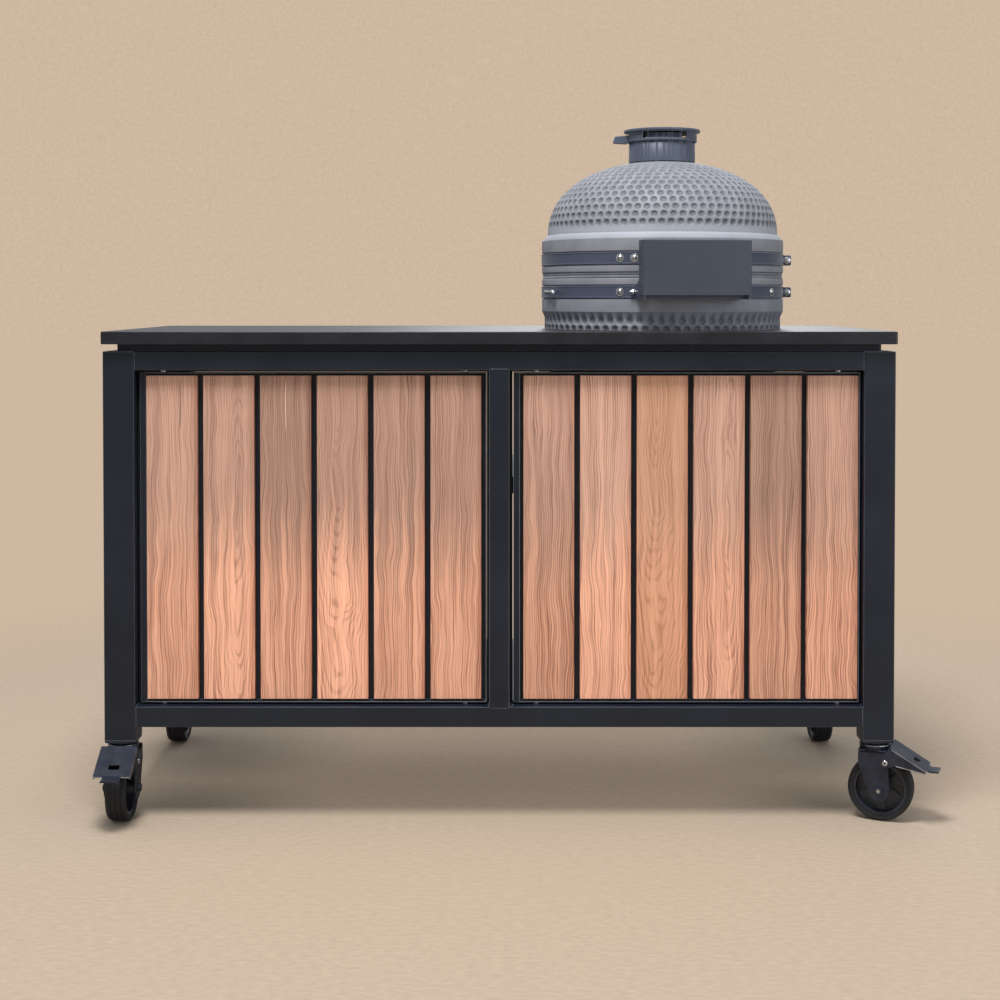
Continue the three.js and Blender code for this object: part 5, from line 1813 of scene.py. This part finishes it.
@dataclass
class Bands(Grill):
    """The two steel bands with their clamps, bolts and the arms of the hinge."""

    width: float = 0.024
    thickness: float = 0.004
    gap: float = 0.0003
    roll: float = 0.0005
    bead: float = 0.0018
    clamp_reach: float = 0.0175
    clamp_height: float = 0.021
    clamp_thickness: float = 0.006
    clamp_split: float = 0.006
    clamp_nut: float = 0.0132
    washer_radius: float = 0.0082
    head_radius: float = 0.0062
    head_height: float = 0.0046
    upper_heads: Pair = (-24.5, -17.8)
    lower_heads: Pair = (-24.5, 55.0)
    upper_stud: float = -14.2
    lower_rods: tuple[Pair, ...] = ((-19.5, 0.034), (-73.0, 0.05))
    rod_nut: float = 0.0104
    pin_reach: float = 0.287
    pin_height: float = 0.05
    arm_spread: float = 0.07
    arm_thickness: float = 0.008
    boss: float = 0.01
    pin_radius: float = 0.005
    cover_width: float = 0.214
    cover_sheet: float = 0.0025
    cheek: float = 0.004
    coils: int = 7
    coil_radius: float = 0.0095
    wire: float = 0.002

    def build(self) -> None:
        """Builds both bands, the bracket and its pin, the spring and the cover."""
        s = self.sizes
        self.inner = s.seat_radius + self.gap
        self.outer = self.inner + self.thickness
        upper = s.gasket + s.rim + (s.band_zone - self.width) / 2
        lower = -s.gasket - s.rim - (s.band_zone + self.width) / 2
        axis_x, axis_y, _ = joint("lid_hinge")["axis"]
        self.hinge_turn = math.atan2(axis_y, axis_x)
        self.strap("upper", upper, "lid", self.arms(upper))
        self.strap("lower", lower, "frame", [])
        self.bracket(lower)
        self.spring()
        self.fitter.keep("hinge_cover", Coat.COVER, 0.0012)

    def strap(self, name: str, bottom: float, body: str, extras: list[Form]) -> None:
        """Builds one band with its clamp and its bolts.

        Args:
            name: Which band it is.
            bottom: Its lower edge above the seam.
            body: The body that carries it.
            extras: Arms that belong to it.
        """
        top = bottom + self.width
        middle = (bottom + top) / 2
        flat, lip, room = self.outer - self.roll, 1.6 * self.bead, 0.01
        corners = [
            (self.inner, bottom), (self.outer, bottom), (self.outer, bottom + self.bead), (flat, bottom + lip),
            (flat, top - lip), (self.outer, top - self.bead), (self.outer, top), (self.inner, top),
        ]
        half_split, half = self.clamp_split / 2, self.clamp_height / 2
        split = block(self.inner - room, self.outer + room, -half_split, half_split, bottom - room, top + room)
        hoop = ring(eased(corners, 0.001), 240)
        self.mount(f"{name}_strap", hoop, Coat.BAND, body, [f"{name}_band"], 0, [split])
        end = half_split + self.clamp_thickness
        ear_side = rectangle(self.inner, self.outer + self.clamp_reach, middle - half, middle + half)
        outline = eased(ear_side, 0.003)
        ears = [prism(outline, low, high, Plane.XZ) for low, high in ((-end, -half_split), (half_split, end))]
        self.mount(f"{name}_clamp", joined(ears), Coat.BAND, body, (), 0.0006)
        if extras:
            self.mount(f"{name}_arms", joined(extras), Coat.BAND, body, (), 0.0008)
        bolt_x = self.outer + self.clamp_reach / 2
        left, right = (0, -1, 0), (0, 1, 0)
        bolts = [
            dowel(0.0074, 0, 0.0014, 0.0004).aimed((bolt_x, -end, middle), left),
            hex_head(self.clamp_nut, 0.0072).aimed((bolt_x, -end - 0.0012, middle), left),
            hex_head(self.clamp_nut, 0.006).aimed((bolt_x, end, middle), right),
            thread(0.0038, 0.0205).aimed((bolt_x, -0.006, middle), right),
        ]
        form = joined([*bolts, *self.band_heads(name, middle)])
        self.mount(f"{name}_bolts", form, Coat.BRIGHT, body, (), 0.0003)

    def round_place(self, degrees: float, radius: float, height: float) -> tuple[Vector, Vector]:
        """Gives a place round the grill and the direction out of it.

        Args:
            degrees: Angle from the side with the doors, towards +X.
            radius: Distance from the grill's axis.
            height: Height above the seam.

        Returns:
            The place and the direction.
        """
        angle = math.radians(degrees)
        outward = Vector((math.sin(angle), -math.cos(angle), 0))
        return Vector((0, 0, height)) + outward * radius, outward

    def band_heads(self, name: str, middle: float) -> list[Form]:
        """Gives the bolt heads with washers and the threaded ends on a band's face.

        Args:
            name: Which band it is.
            middle: The band's middle above the seam.

        Returns:
            The fasteners.
        """
        heads = []
        for degrees in self.upper_heads if name == "upper" else self.lower_heads:
            spot, outward = self.round_place(degrees, self.outer - self.roll - 0.0002, middle)
            heads.append(dowel(self.washer_radius, 0, 0.0012, 0.0003).aimed(spot, outward))
            heads.append(dome_head(self.head_radius, self.head_height).aimed(spot, outward))
        if name == "upper":
            spot, outward = self.round_place(self.upper_stud, self.outer - 0.001, middle + 0.005)
            return [*heads, thread(0.004, 0.013).aimed(spot, outward)]
        for degrees, length in self.lower_rods:
            spot, outward = self.round_place(degrees, self.outer + self.rod_nut / 2, middle)
            along = (-outward.y, outward.x, 0)
            heads.append(thread(0.0034, length).aimed(spot, along))
            for step in (0.004, length - 0.01):
                heads.append(hex_head(self.rod_nut, self.rod_nut / 2).at(0, 0, step).aimed(spot, along))
        return heads

    def arms(self, bottom: float) -> list[Form]:
        """Gives the two arms of the lid with their bosses round the pin.

        Args:
            bottom: The upper band's lower edge above the seam.

        Returns:
            The arms.
        """
        top, half = bottom + self.width, self.arm_thickness / 2
        centre = (-self.pin_reach, self.pin_height)
        face, root = -self.outer - 0.001, -self.outer + 0.0035
        eye = arc(centre, self.boss, 60, 245, 14)
        outline = [*eye, (face, bottom), (root, bottom), (root, top), (face, top)]
        hole = arc(centre, self.pin_radius + self.gap, 0, 345, 23)
        forms = []
        for x in (-self.arm_spread, self.arm_spread):
            inset = self.outer - math.sqrt(self.outer**2 - (abs(x) + half) ** 2)
            reached = [(u + inset if u > -self.outer - 0.0005 else u, v) for u, v in outline]
            forms.append(prism(reached, x - half, x + half, Plane.YZ, [hole]).about("Z", self.hinge_turn))
        return forms

    def bracket(self, bottom: float) -> None:
        """Builds the bracket on the lower band: two cheeks, the web between them and the pin.

        Args:
            bottom: The lower band's lower edge above the seam.
        """
        spread = self.cover_width / 2 - self.cover_sheet - self.gap
        foot, top = bottom - self.cover_sheet, bottom + self.width
        front, back, root = -self.pin_reach - self.boss, self.boss - self.pin_reach, -self.outer * 0.905
        eye = arc((-self.pin_reach, self.pin_height), self.boss, 0, 180, 14)
        outline = [*eye, (front, foot), (root, foot), (root, top), (back, 0)]
        wall = self.cheek
        cheeks = [prism(outline, start, start + wall, Plane.YZ) for start in (-spread, spread - wall)]
        web = block(-spread, spread, back - wall, back, foot, top)
        pad = block(-spread / 2, spread / 2, back, 0.003 - self.outer, foot, top)
        form = joined([*cheeks, web, pad]).about("Z", self.hinge_turn)
        self.mount("bracket", form, Coat.BAND, "frame", ["hinge_bracket"], 0.0006)
        pin = dowel(self.pin_radius, -spread, spread, 0.001, 28).about("Y", math.pi / 2)
        pin = pin.at(0, -self.pin_reach, self.pin_height).about("Z", self.hinge_turn)
        self.mount("hinge_pin", pin, Coat.BRIGHT, "frame")

    def spring(self) -> None:
        """Builds the coil spring on the pin."""
        length = 2 * (self.arm_spread - self.arm_thickness / 2 - self.gap - self.wire)
        path = []
        for share in np.linspace(0, 1, self.coils * 24 + 1):
            angle = share * self.coils * FULL_TURN
            around = (self.coil_radius * math.cos(angle), self.coil_radius * math.sin(angle))
            path.append(((share - 0.5) * length, *around))
        coil = tube(path, self.wire).at(0, -self.pin_reach, self.pin_height).about("Z", self.hinge_turn)
        self.mount("spring_coil", coil, Coat.BRIGHT, "frame", ["hinge_spring"])


@dataclass
class Chimney(Grill):
    """The collar on the lid and the cap that turns on it to open its windows."""

    collar_radius: float = 0.0685
    collar_wall: float = 0.008
    collar_play: float = 0.0008
    cap_radius: float = 0.079
    skirt_wall: float = 0.003
    skirt_height: float = 0.02
    plate: float = 0.005
    plate_bead: float = 0.012
    windows: int = 3
    cap_window: float = 78.0
    collar_window: float = 58.0
    notch: float = 60.0
    window_height: float = 0.0135
    window_reach: Pair = (0.03, 0.12)
    sill: float = 0.0015
    lip_drop: float = 0.0048
    tab_reach: float = 0.102
    tab_width: float = 0.022
    tab_height: float = 0.017
    tab_drop: float = 0.003

    def build(self) -> None:
        """Builds the collar and the cap."""
        low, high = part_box("chimney_collar")
        bottom, top = low.z - self.seam(), high.z - self.seam()
        foot = self.sizes.dome(0, 8, self.sizes.chimney_hole)[-1][1]
        shelf, floor = foot + 0.0003, foot + self.collar_wall
        spigot = self.sizes.chimney_hole - 0.0006
        bore, inner = spigot - self.collar_wall, self.collar_radius - self.collar_wall
        corners = [
            (bore, bottom), (spigot, bottom), (spigot, shelf), (self.collar_radius, shelf),
            (self.collar_radius, top), (inner, top), (inner, floor), (bore, floor),
        ]
        opening = top - self.sill
        wedges = self.wedges(self.collar_window, 180 / self.windows, opening - self.window_height, opening)
        wedges += self.wedges(self.notch, 0, top - self.lip_drop, top + self.lip_drop)
        form = ring(eased(corners, 0.0012), 120)
        self.mount("chimney_tube", form, Coat.CHIMNEY, "lid", ["chimney_collar"], 0.0005, wedges)
        self.cap(top)

    def wedges(self, degrees: float, offset: float, bottom: float, top: float) -> list[Form]:
        """Gives the wedges that cut the windows.

        Args:
            degrees: Width of a window.
            offset: Angle of the first window from the side with the doors.
            bottom: Lower edge above the seam.
            top: Upper edge above the seam.

        Returns:
            One closed wedge for each window.
        """
        forms = []
        near, far = self.window_reach
        for index in range(self.windows):
            middle = 360 * index / self.windows + offset - 90
            first, last = middle - degrees / 2, middle + degrees / 2
            outline = [*arc((0, 0), far, first, last, 8), *arc((0, 0), near, last, first, 8)]
            forms.append(prism(outline, bottom, top))
        return forms

    def cap(self, collar_top: float) -> None:
        """Builds the cap: a plate with a skirt that has windows, and the tab to turn it by.

        Args:
            collar_top: The collar's upper edge above the seam.
        """
        inner = self.collar_radius + self.collar_play
        outer = inner + self.skirt_wall
        bottom = collar_top + 0.0003
        top, skirt = bottom + self.plate, bottom - self.skirt_height
        bead, dip = self.cap_radius - self.plate_bead, top - 0.001
        corners = [
            (0, bottom), (inner, bottom), (inner, skirt), (outer, skirt), (outer, bottom - 0.001),
            (self.cap_radius, bottom), (self.cap_radius, top), (bead, top), (bead - 0.001, dip), (0, dip),
        ]
        opening = collar_top - self.sill
        wedges = self.wedges(self.cap_window, 0, opening - self.window_height, opening)
        form = lathe(eased(corners, 0.001, 3, closed=False), 120)
        self.mount("cap_plate", form, Coat.CHIMNEY, "cap", ["chimney_cap"], 0.0004, wedges)
        half, low = self.tab_width / 2, skirt - self.tab_drop
        high, root = low + self.tab_height, -inner - 0.0015
        outline = [
            (-self.tab_reach, low + 0.0015), (root, low), (root, high + 0.001), (-outer - 0.012, high - 0.001),
            (-self.tab_reach + 0.003, high - 0.002),
        ]
        tab = prism(eased(outline, 0.004, 4), -half, half, Plane.XZ)
        self.mount("cap_tab", tab, Coat.CHIMNEY, "cap", (), 0.0008)


@dataclass
class LidFittings(Grill):
    """The handle and the thermometer on the far side of the lid."""

    handle_radius: float = 0.014
    handle_edge: float = 0.005
    handle_neck: float = 0.02
    post_spread: float = 0.088
    post_half: float = 0.008
    post_height: float = 0.022
    dial_rise: float = 0.15
    dial_radius: float = 0.036
    dial_depth: float = 0.014
    stem_length: float = 0.042
    sweep: float = math.radians(270)
    first_angle: float = math.radians(225)
    ticks: int = 31
    tick_reach: float = 0.0298
    needle_share: float = 0.08
    number_reach: float = 0.0192
    number_size: float = 0.0052
    numbers: tuple[str, ...] = ("50", "100", "150", "200", "250", "300", "350")

    def build(self) -> None:
        """Builds the handle and the thermometer."""
        self.handle()
        self.dial()

    def handle(self) -> None:
        """Builds the round wooden bar with its two steel posts."""
        low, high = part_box("lid_handle")
        radius, end, neck = self.handle_radius, 0.86 * self.handle_radius, self.handle_neck
        x, y, z = (low.x + high.x) / 2, high.y - radius, high.z - radius
        half = (high.x - low.x) / 2
        corners = [
            (0, -half), (end, -half), (radius, neck - half), (radius, half - neck), (end, half), (0, half),
        ]
        bar = lathe(eased(corners, self.handle_edge, 5, closed=False), 48)
        bar = bar.about("Y", math.pi / 2).at(x, y, z)
        self.fitter.fit("handle_bar", bar, Coat.GRIP, "lid", ["lid_handle"])
        band, wide, tall = self.sizes.seat_radius + 0.0043, self.post_half, self.post_height / 2
        root = self.axis()[1] + math.sqrt(band**2 - (self.post_spread - wide) ** 2) - 0.001
        posts = [
            block(middle - wide, middle + wide, root, y, z - tall, z + tall)
            for middle in (x - self.post_spread, x + self.post_spread)
        ]
        self.fitter.fit("handle_posts", joined(posts), Coat.BAND, "lid", (), 0.003)

    def dial(self) -> None:
        """Builds the thermometer: case, stem, face, scale with plain numbers, needle and rim."""
        s = self.sizes
        share = (self.dial_rise - s.dome_foot) / s.dome_height
        reach = s.dome_radius * (1 - share**s.dome_power) ** (1 / s.dome_power)
        rise_part = share ** (s.dome_power - 1) / s.dome_height
        reach_part = (reach / s.dome_radius) ** (s.dome_power - 1) / s.dome_radius
        lean = Matrix.Rotation(math.atan2(rise_part, reach_part) - math.pi / 2, 4, "X")
        place = Matrix.Translation((0, reach, self.dial_rise)) @ lean @ Matrix.Rotation(math.pi, 4, "Z")
        radius, depth, rim = self.dial_radius, self.dial_depth, self.dial_depth - 0.0002
        corners = [
            (0, 0.0003), (radius - 0.003, 0.0003), (radius - 0.0008, 0.004), (radius, depth - 0.004),
            (radius, rim), (radius - 0.0035, rim), (radius - 0.0045, depth - 0.0035), (0, depth - 0.0035),
        ]
        case = lathe(eased(corners, 0.001, 3, closed=False))
        stem = dowel(0.004, -self.stem_length, 0.001, 0.001, 20)
        self.mount("thermometer_case", joined([case, stem]).moved(place), Coat.BRUSHED, "lid", ["thermometer"])
        level = depth - 0.0034
        face = dowel(radius - 0.0047, level - 0.0008, level, 0.0002, 64)
        self.mount("dial_face", face.moved(place), Coat.DIAL, "lid")
        marks = [*self.tick_lines(level), self.needle(level)]
        marks.append(dowel(0.0024, level, level + 0.002, 0.0005, 24))
        for index, number in enumerate(self.numbers):
            angle = self.first_angle - self.sweep * (index + 0.5) / len(self.numbers)
            spot = (self.number_reach * math.cos(angle), self.number_reach * math.sin(angle), level)
            marks.append(self.number(number).at(*spot))
        self.mount("dial_scale", joined(marks).moved(place), Coat.INK, "lid")

    def tick_lines(self, level: float) -> list[Form]:
        """Gives the scale's lines, of which every fifth is longer.

        Args:
            level: The height of the dial's face in its case.

        Returns:
            One bar for each line.
        """
        lines = []
        for tick in range(self.ticks):
            length = 0.0022 if tick % 5 else 0.004
            line = block(self.tick_reach - length, self.tick_reach, -0.0003, 0.0003, level, level + 0.0003)
            lines.append(line.about("Z", self.first_angle - self.sweep * tick / (self.ticks - 1)))
        return lines

    def needle(self, level: float) -> Form:
        """Gives the needle over the dial's face.

        Args:
            level: The height of the face in the case.

        Returns:
            The closed form.
        """
        outline = [(-0.006, -0.0012), (0.022, -0.0002), (0.022, 0.0002), (-0.006, 0.0012)]
        needle = prism(outline, level + 0.0006, level + 0.0012)
        return needle.about("Z", self.first_angle - self.sweep * self.needle_share)

    def number(self, words: str) -> Form:
        """Gives a plain number, drawn flat about its middle.

        Args:
            words: The number.

        Returns:
            Its form.
        """
        text = bpy.data.curves.new(f"number_{words}", "FONT")
        text.body = words
        text.size = self.number_size
        text.extrude = 0.00015
        text.resolution_u = 3
        text.align_x = "CENTER"
        text.align_y = "CENTER"
        holder = bpy.data.objects.new(text.name, text)
        mesh = bpy.data.meshes.new_from_object(holder)
        points = np.array([list(vertex.co) for vertex in mesh.vertices])
        faces = [tuple(face.vertices) for face in mesh.polygons]
        bpy.data.objects.remove(holder)
        return Form(points, faces)


@dataclass
class FireParts(Grill):
    """What lies inside the grill: the fire box, the charcoal grate and the cooking grid."""

    box_wall: float = 0.018
    box_gap: float = 0.005
    box_drop: float = 0.038
    draft_top: float = 0.094
    mouth_room: float = 0.01
    mouth_half: float = 0.065
    grate_drop: float = 0.24
    grate_thickness: float = 0.01
    grate_radius: float = 0.104
    ledge: float = 0.01
    grid_radius: float = 0.208
    grid_rods: int = 21
    rim_rod: float = 0.003
    rod_radius: float = 0.0024
    cross_radius: float = 0.0026
    cross_spread: float = 0.07
    rod_lift: float = 0.0004

    def build(self) -> None:
        """Builds the fire box and the grid, and dresses the grate and the draft door."""
        self.fire_box()
        self.grid()
        self.fitter.keep("charcoal_grate", Coat.IRON, 0.001)
        self.fitter.keep("draft_door_frame", Coat.BRUSHED, 0.0005)
        self.fitter.keep("draft_door", Coat.BRUSHED, 0.0006)

    def fire_box(self) -> None:
        """Builds the clay pot with its ledge, the pit under its floor and the mouth at its foot."""
        s = self.sizes
        clear = s.base_wall + self.box_gap
        inset = clear + self.box_wall
        mouth_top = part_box("kamado_base")[0].z - self.seam() + self.draft_top
        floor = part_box("fire_box")[0].z - self.seam()
        grate_low, grate_top = -self.grate_drop, self.grate_thickness - self.grate_drop
        outside, inside = s.belly(clear, 40, floor), s.belly(inset, 30, grate_top)
        bore, seat = self.grate_radius - self.ledge, self.grate_radius + 0.0006
        under = grate_low - self.box_wall
        corners = [
            (outside[-1][0] - self.box_wall, floor), *outside[::-1], (outside[0][0], -self.box_drop),
            (inside[0][0], -self.box_drop), *inside, (seat, grate_top), (seat, grate_low), (bore, grate_low),
            (bore, under), s.belly(inset, 1, under)[-1], s.belly(inset, 1, mouth_top)[-1],
        ]
        mouth = self.draft_opening(self.mouth_half, floor - 0.01, mouth_top + self.mouth_room)
        form = ring(eased(corners, 0.002), 120)
        self.mount("fire_pot", form, Coat.CLAY, "frame", ["fire_box"], 0, [mouth])

    def grid(self) -> None:
        """Builds the round cooking grid of steel rods in a rim, with two rods across them."""
        level = middle_of("cooking_grid").z - self.seam()
        reach = self.grid_radius - self.rim_rod
        rim = [(x, y, level) for x, y in arc((0, 0), reach, 0, 355, 71)]
        rods = [tube(rim, self.rim_rod, closed=True)]
        pitch = 2 * reach / (self.grid_rods + 1)
        high, low = level + self.rod_lift, level - self.rod_lift
        for number in range(1, self.grid_rods + 1):
            y = number * pitch - reach
            half = math.sqrt(reach**2 - y**2)
            rods.append(tube([(-half, y, high), (half, y, high)], self.rod_radius))
        for x in (-self.cross_spread, self.cross_spread):
            half = math.sqrt(reach**2 - x**2)
            rods.append(tube([(x, -half, low), (x, half, low)], self.cross_radius))
        self.mount("grid_rods", joined(rods), Coat.BRIGHT, "frame", ["cooking_grid"])


# Studio


@dataclass(frozen=True)
class Lamp:
    """A soft round lamp."""

    name: str
    place: Triple
    size: float
    power: float
    tint: Triple = (1.0, 1.0, 1.0)

    def hang(self, aim: Triple) -> None:
        """Hangs the lamp in the scene.

        Args:
            aim: Where it looks.
        """
        lamp = bpy.data.lights.new(self.name, "AREA")
        lamp.shape = "DISK"
        lamp.size = self.size
        lamp.energy = self.power
        lamp.color = self.tint
        holder = bpy.data.objects.new(self.name, lamp)
        holder.location = self.place
        towards = Vector(aim) - Vector(self.place)
        holder.rotation_euler = towards.to_track_quat("-Z", "Y").to_euler()
        bpy.context.scene.collection.objects.link(holder)


@dataclass
class Studio:
    """Camera, lamps, surround and the paper floor."""

    lens: float = 58.817
    camera_place: Triple = (-0.03975, -3.35944, 0.99722)
    pitch_down: float = 0.02144
    shift_down: float = 0.16754
    aim: Triple = (0.0, 0.0, 0.6)
    lamps: tuple[Lamp, ...] = (
        Lamp("key", (-0.5, -1.7, 4.4), 1.5, 175.0, (1.0, 0.99, 0.97)),
        Lamp("fill", (2.8, -2.6, 1.4), 2.2, 24.0, (0.95, 0.98, 1.0)),
        Lamp("rear", (0.6, 3.2, 2.4), 2.4, 30.0),
    )
    ambient: Colour = (0.93, 0.96, 1.0, 1.0)
    ambient_strength: float = 0.48
    fibre_scale: float = 620.0
    paper_light: Colour = paint(194, 176, 156)
    paper_dark: Colour = paint(182, 165, 145)
    glow_light: Colour = paint(210, 188, 165)
    glow_dark: Colour = paint(202, 180, 157)
    floor_half: float = 30.0
    mottle: float = 0.009
    fade: Pair = (1.0, 2.6)
    # Painted light on the floor under the table lifts its shadow, less of it near the casters, which leaves
    # painted shade there.
    caster_place: Pair = (0.72, 0.29)
    caster_shade: Pair = (0.02, 0.42)
    painted_shadow_lift: float = 0.27

    def build(self) -> None:
        """Sets up everything that isn't the object."""
        scene = bpy.context.scene
        scene.view_settings.view_transform = "Standard"
        self.camera(scene)
        for lamp in self.lamps:
            lamp.hang(self.aim)
        self.world(scene)
        self.floor()

    def camera(self, scene: bpy.types.Scene) -> None:
        """Puts the camera at the photograph's angle.

        Args:
            scene: The scene that it serves.
        """
        lens = bpy.data.cameras.new("camera")
        lens.lens = self.lens
        lens.shift_y = -self.shift_down
        camera = bpy.data.objects.new("camera", lens)
        camera.location = self.camera_place
        camera.rotation_euler = (math.pi / 2 - self.pitch_down, 0, 0)
        scene.collection.objects.link(camera)
        scene.camera = camera

    def world(self, scene: bpy.types.Scene) -> None:
        """Gives a plain soft surround that shows as paper behind the object.

        Args:
            scene: The scene that it serves.
        """
        world = bpy.data.worlds.new("surround")
        sheet = NodeSheet(world)
        soft = sheet.give(0, "Background", (self.ambient, self.ambient_strength))
        fibres = sheet.give("Fac", "TexNoise", {"Scale": self.fibre_scale})
        tone = sheet.ramp(fibres, (0.3, self.glow_dark), (0.7, self.glow_light))
        shown = sheet.give(0, "Background", (tone,))
        seen = sheet.give("Is Camera Ray", "LightPath")
        sheet.show(sheet.give(0, "MixShader", (seen, soft, shown)), "OutputWorld")
        scene.world = world

    def floor(self) -> None:
        """Lays the paper floor, which fades into the surround away from the object. Seen from the camera, part
        of it glows as painted light that lifts the shadow under the table, and less so near the casters, which
        leaves painted shade round them.
        """
        half = self.floor_half
        corners = [(x, y, 0) for x, y in rectangle(-half, half, -half, half)]
        mesh = bpy.data.meshes.new("paper_floor")
        mesh.from_pydata(corners, [], [(0, 1, 2, 3)])
        floor = bpy.data.objects.new("paper_floor", mesh)
        bpy.context.scene.collection.objects.link(floor)
        paper = bpy.data.materials.new("paper")
        sheet = NodeSheet(paper)
        mottle = sheet.noise(self.mottle, 3, sheet.scaled(sheet.place, (0.5, 1.0, 1.0)))
        matt = sheet.shade(sheet.ramp(mottle, (0.3, self.paper_dark), (0.7, self.paper_light)), 0.9)
        glow = sheet.give(0, "Emission", (sheet.ramp(mottle, (0.3, self.glow_dark), (0.7, self.glow_light)),))
        x, y, _ = sheet.parts(sheet.place)
        far = sheet.step(self.reach(sheet, x, y, (0, 0)), *self.fade)
        # Painted light: a share of glow lifts the shadow under the table, less near the casters.
        near = sheet.step(self.reach(sheet, abs(x), abs(y), self.caster_place), *self.caster_shade)
        most = sheet.reckon("MAXIMUM", far, near * self.painted_shadow_lift)
        share = most * sheet.give("Is Camera Ray", "LightPath")
        sheet.show(sheet.give(0, "MixShader", (share, matt, glow)))
        mesh.materials.append(paper)

    def reach(self, sheet: NodeSheet, x: Signal, y: Signal, centre: Pair) -> Signal:
        """Gives the distance on the floor from a centre.

        Args:
            sheet: Where the nodes go.
            x: Place along X.
            y: Place along Y.
            centre: The centre.

        Returns:
            The distance.
        """
        return sheet.reckon("SQRT", (x - centre[0]) ** 2 + (y - centre[1]) ** 2)


def main() -> None:
    """Builds the sub-assemblies in order."""
    logging.basicConfig(level=logging.INFO, format="%(message)s")
    Studio().build()
    fitter = Fitter(Paintshop())
    assemblies: list[SubAssembly] = [SteelFrame(fitter), Tops(fitter), Boards(fitter)]
    for corner in ("front_left", "front_right", "rear_left", "rear_right"):
        assemblies.append(Caster(fitter, corner, corner.startswith("front")))
    assemblies += [Ceramics(fitter), Bands(fitter), Chimney(fitter), LidFittings(fitter), FireParts(fitter)]
    for assembly in assemblies:
        assembly.build()
        log.info("%s built, %d pieces so far", type(assembly).__name__, fitter.count)


if __name__ == "__main__":
    main()
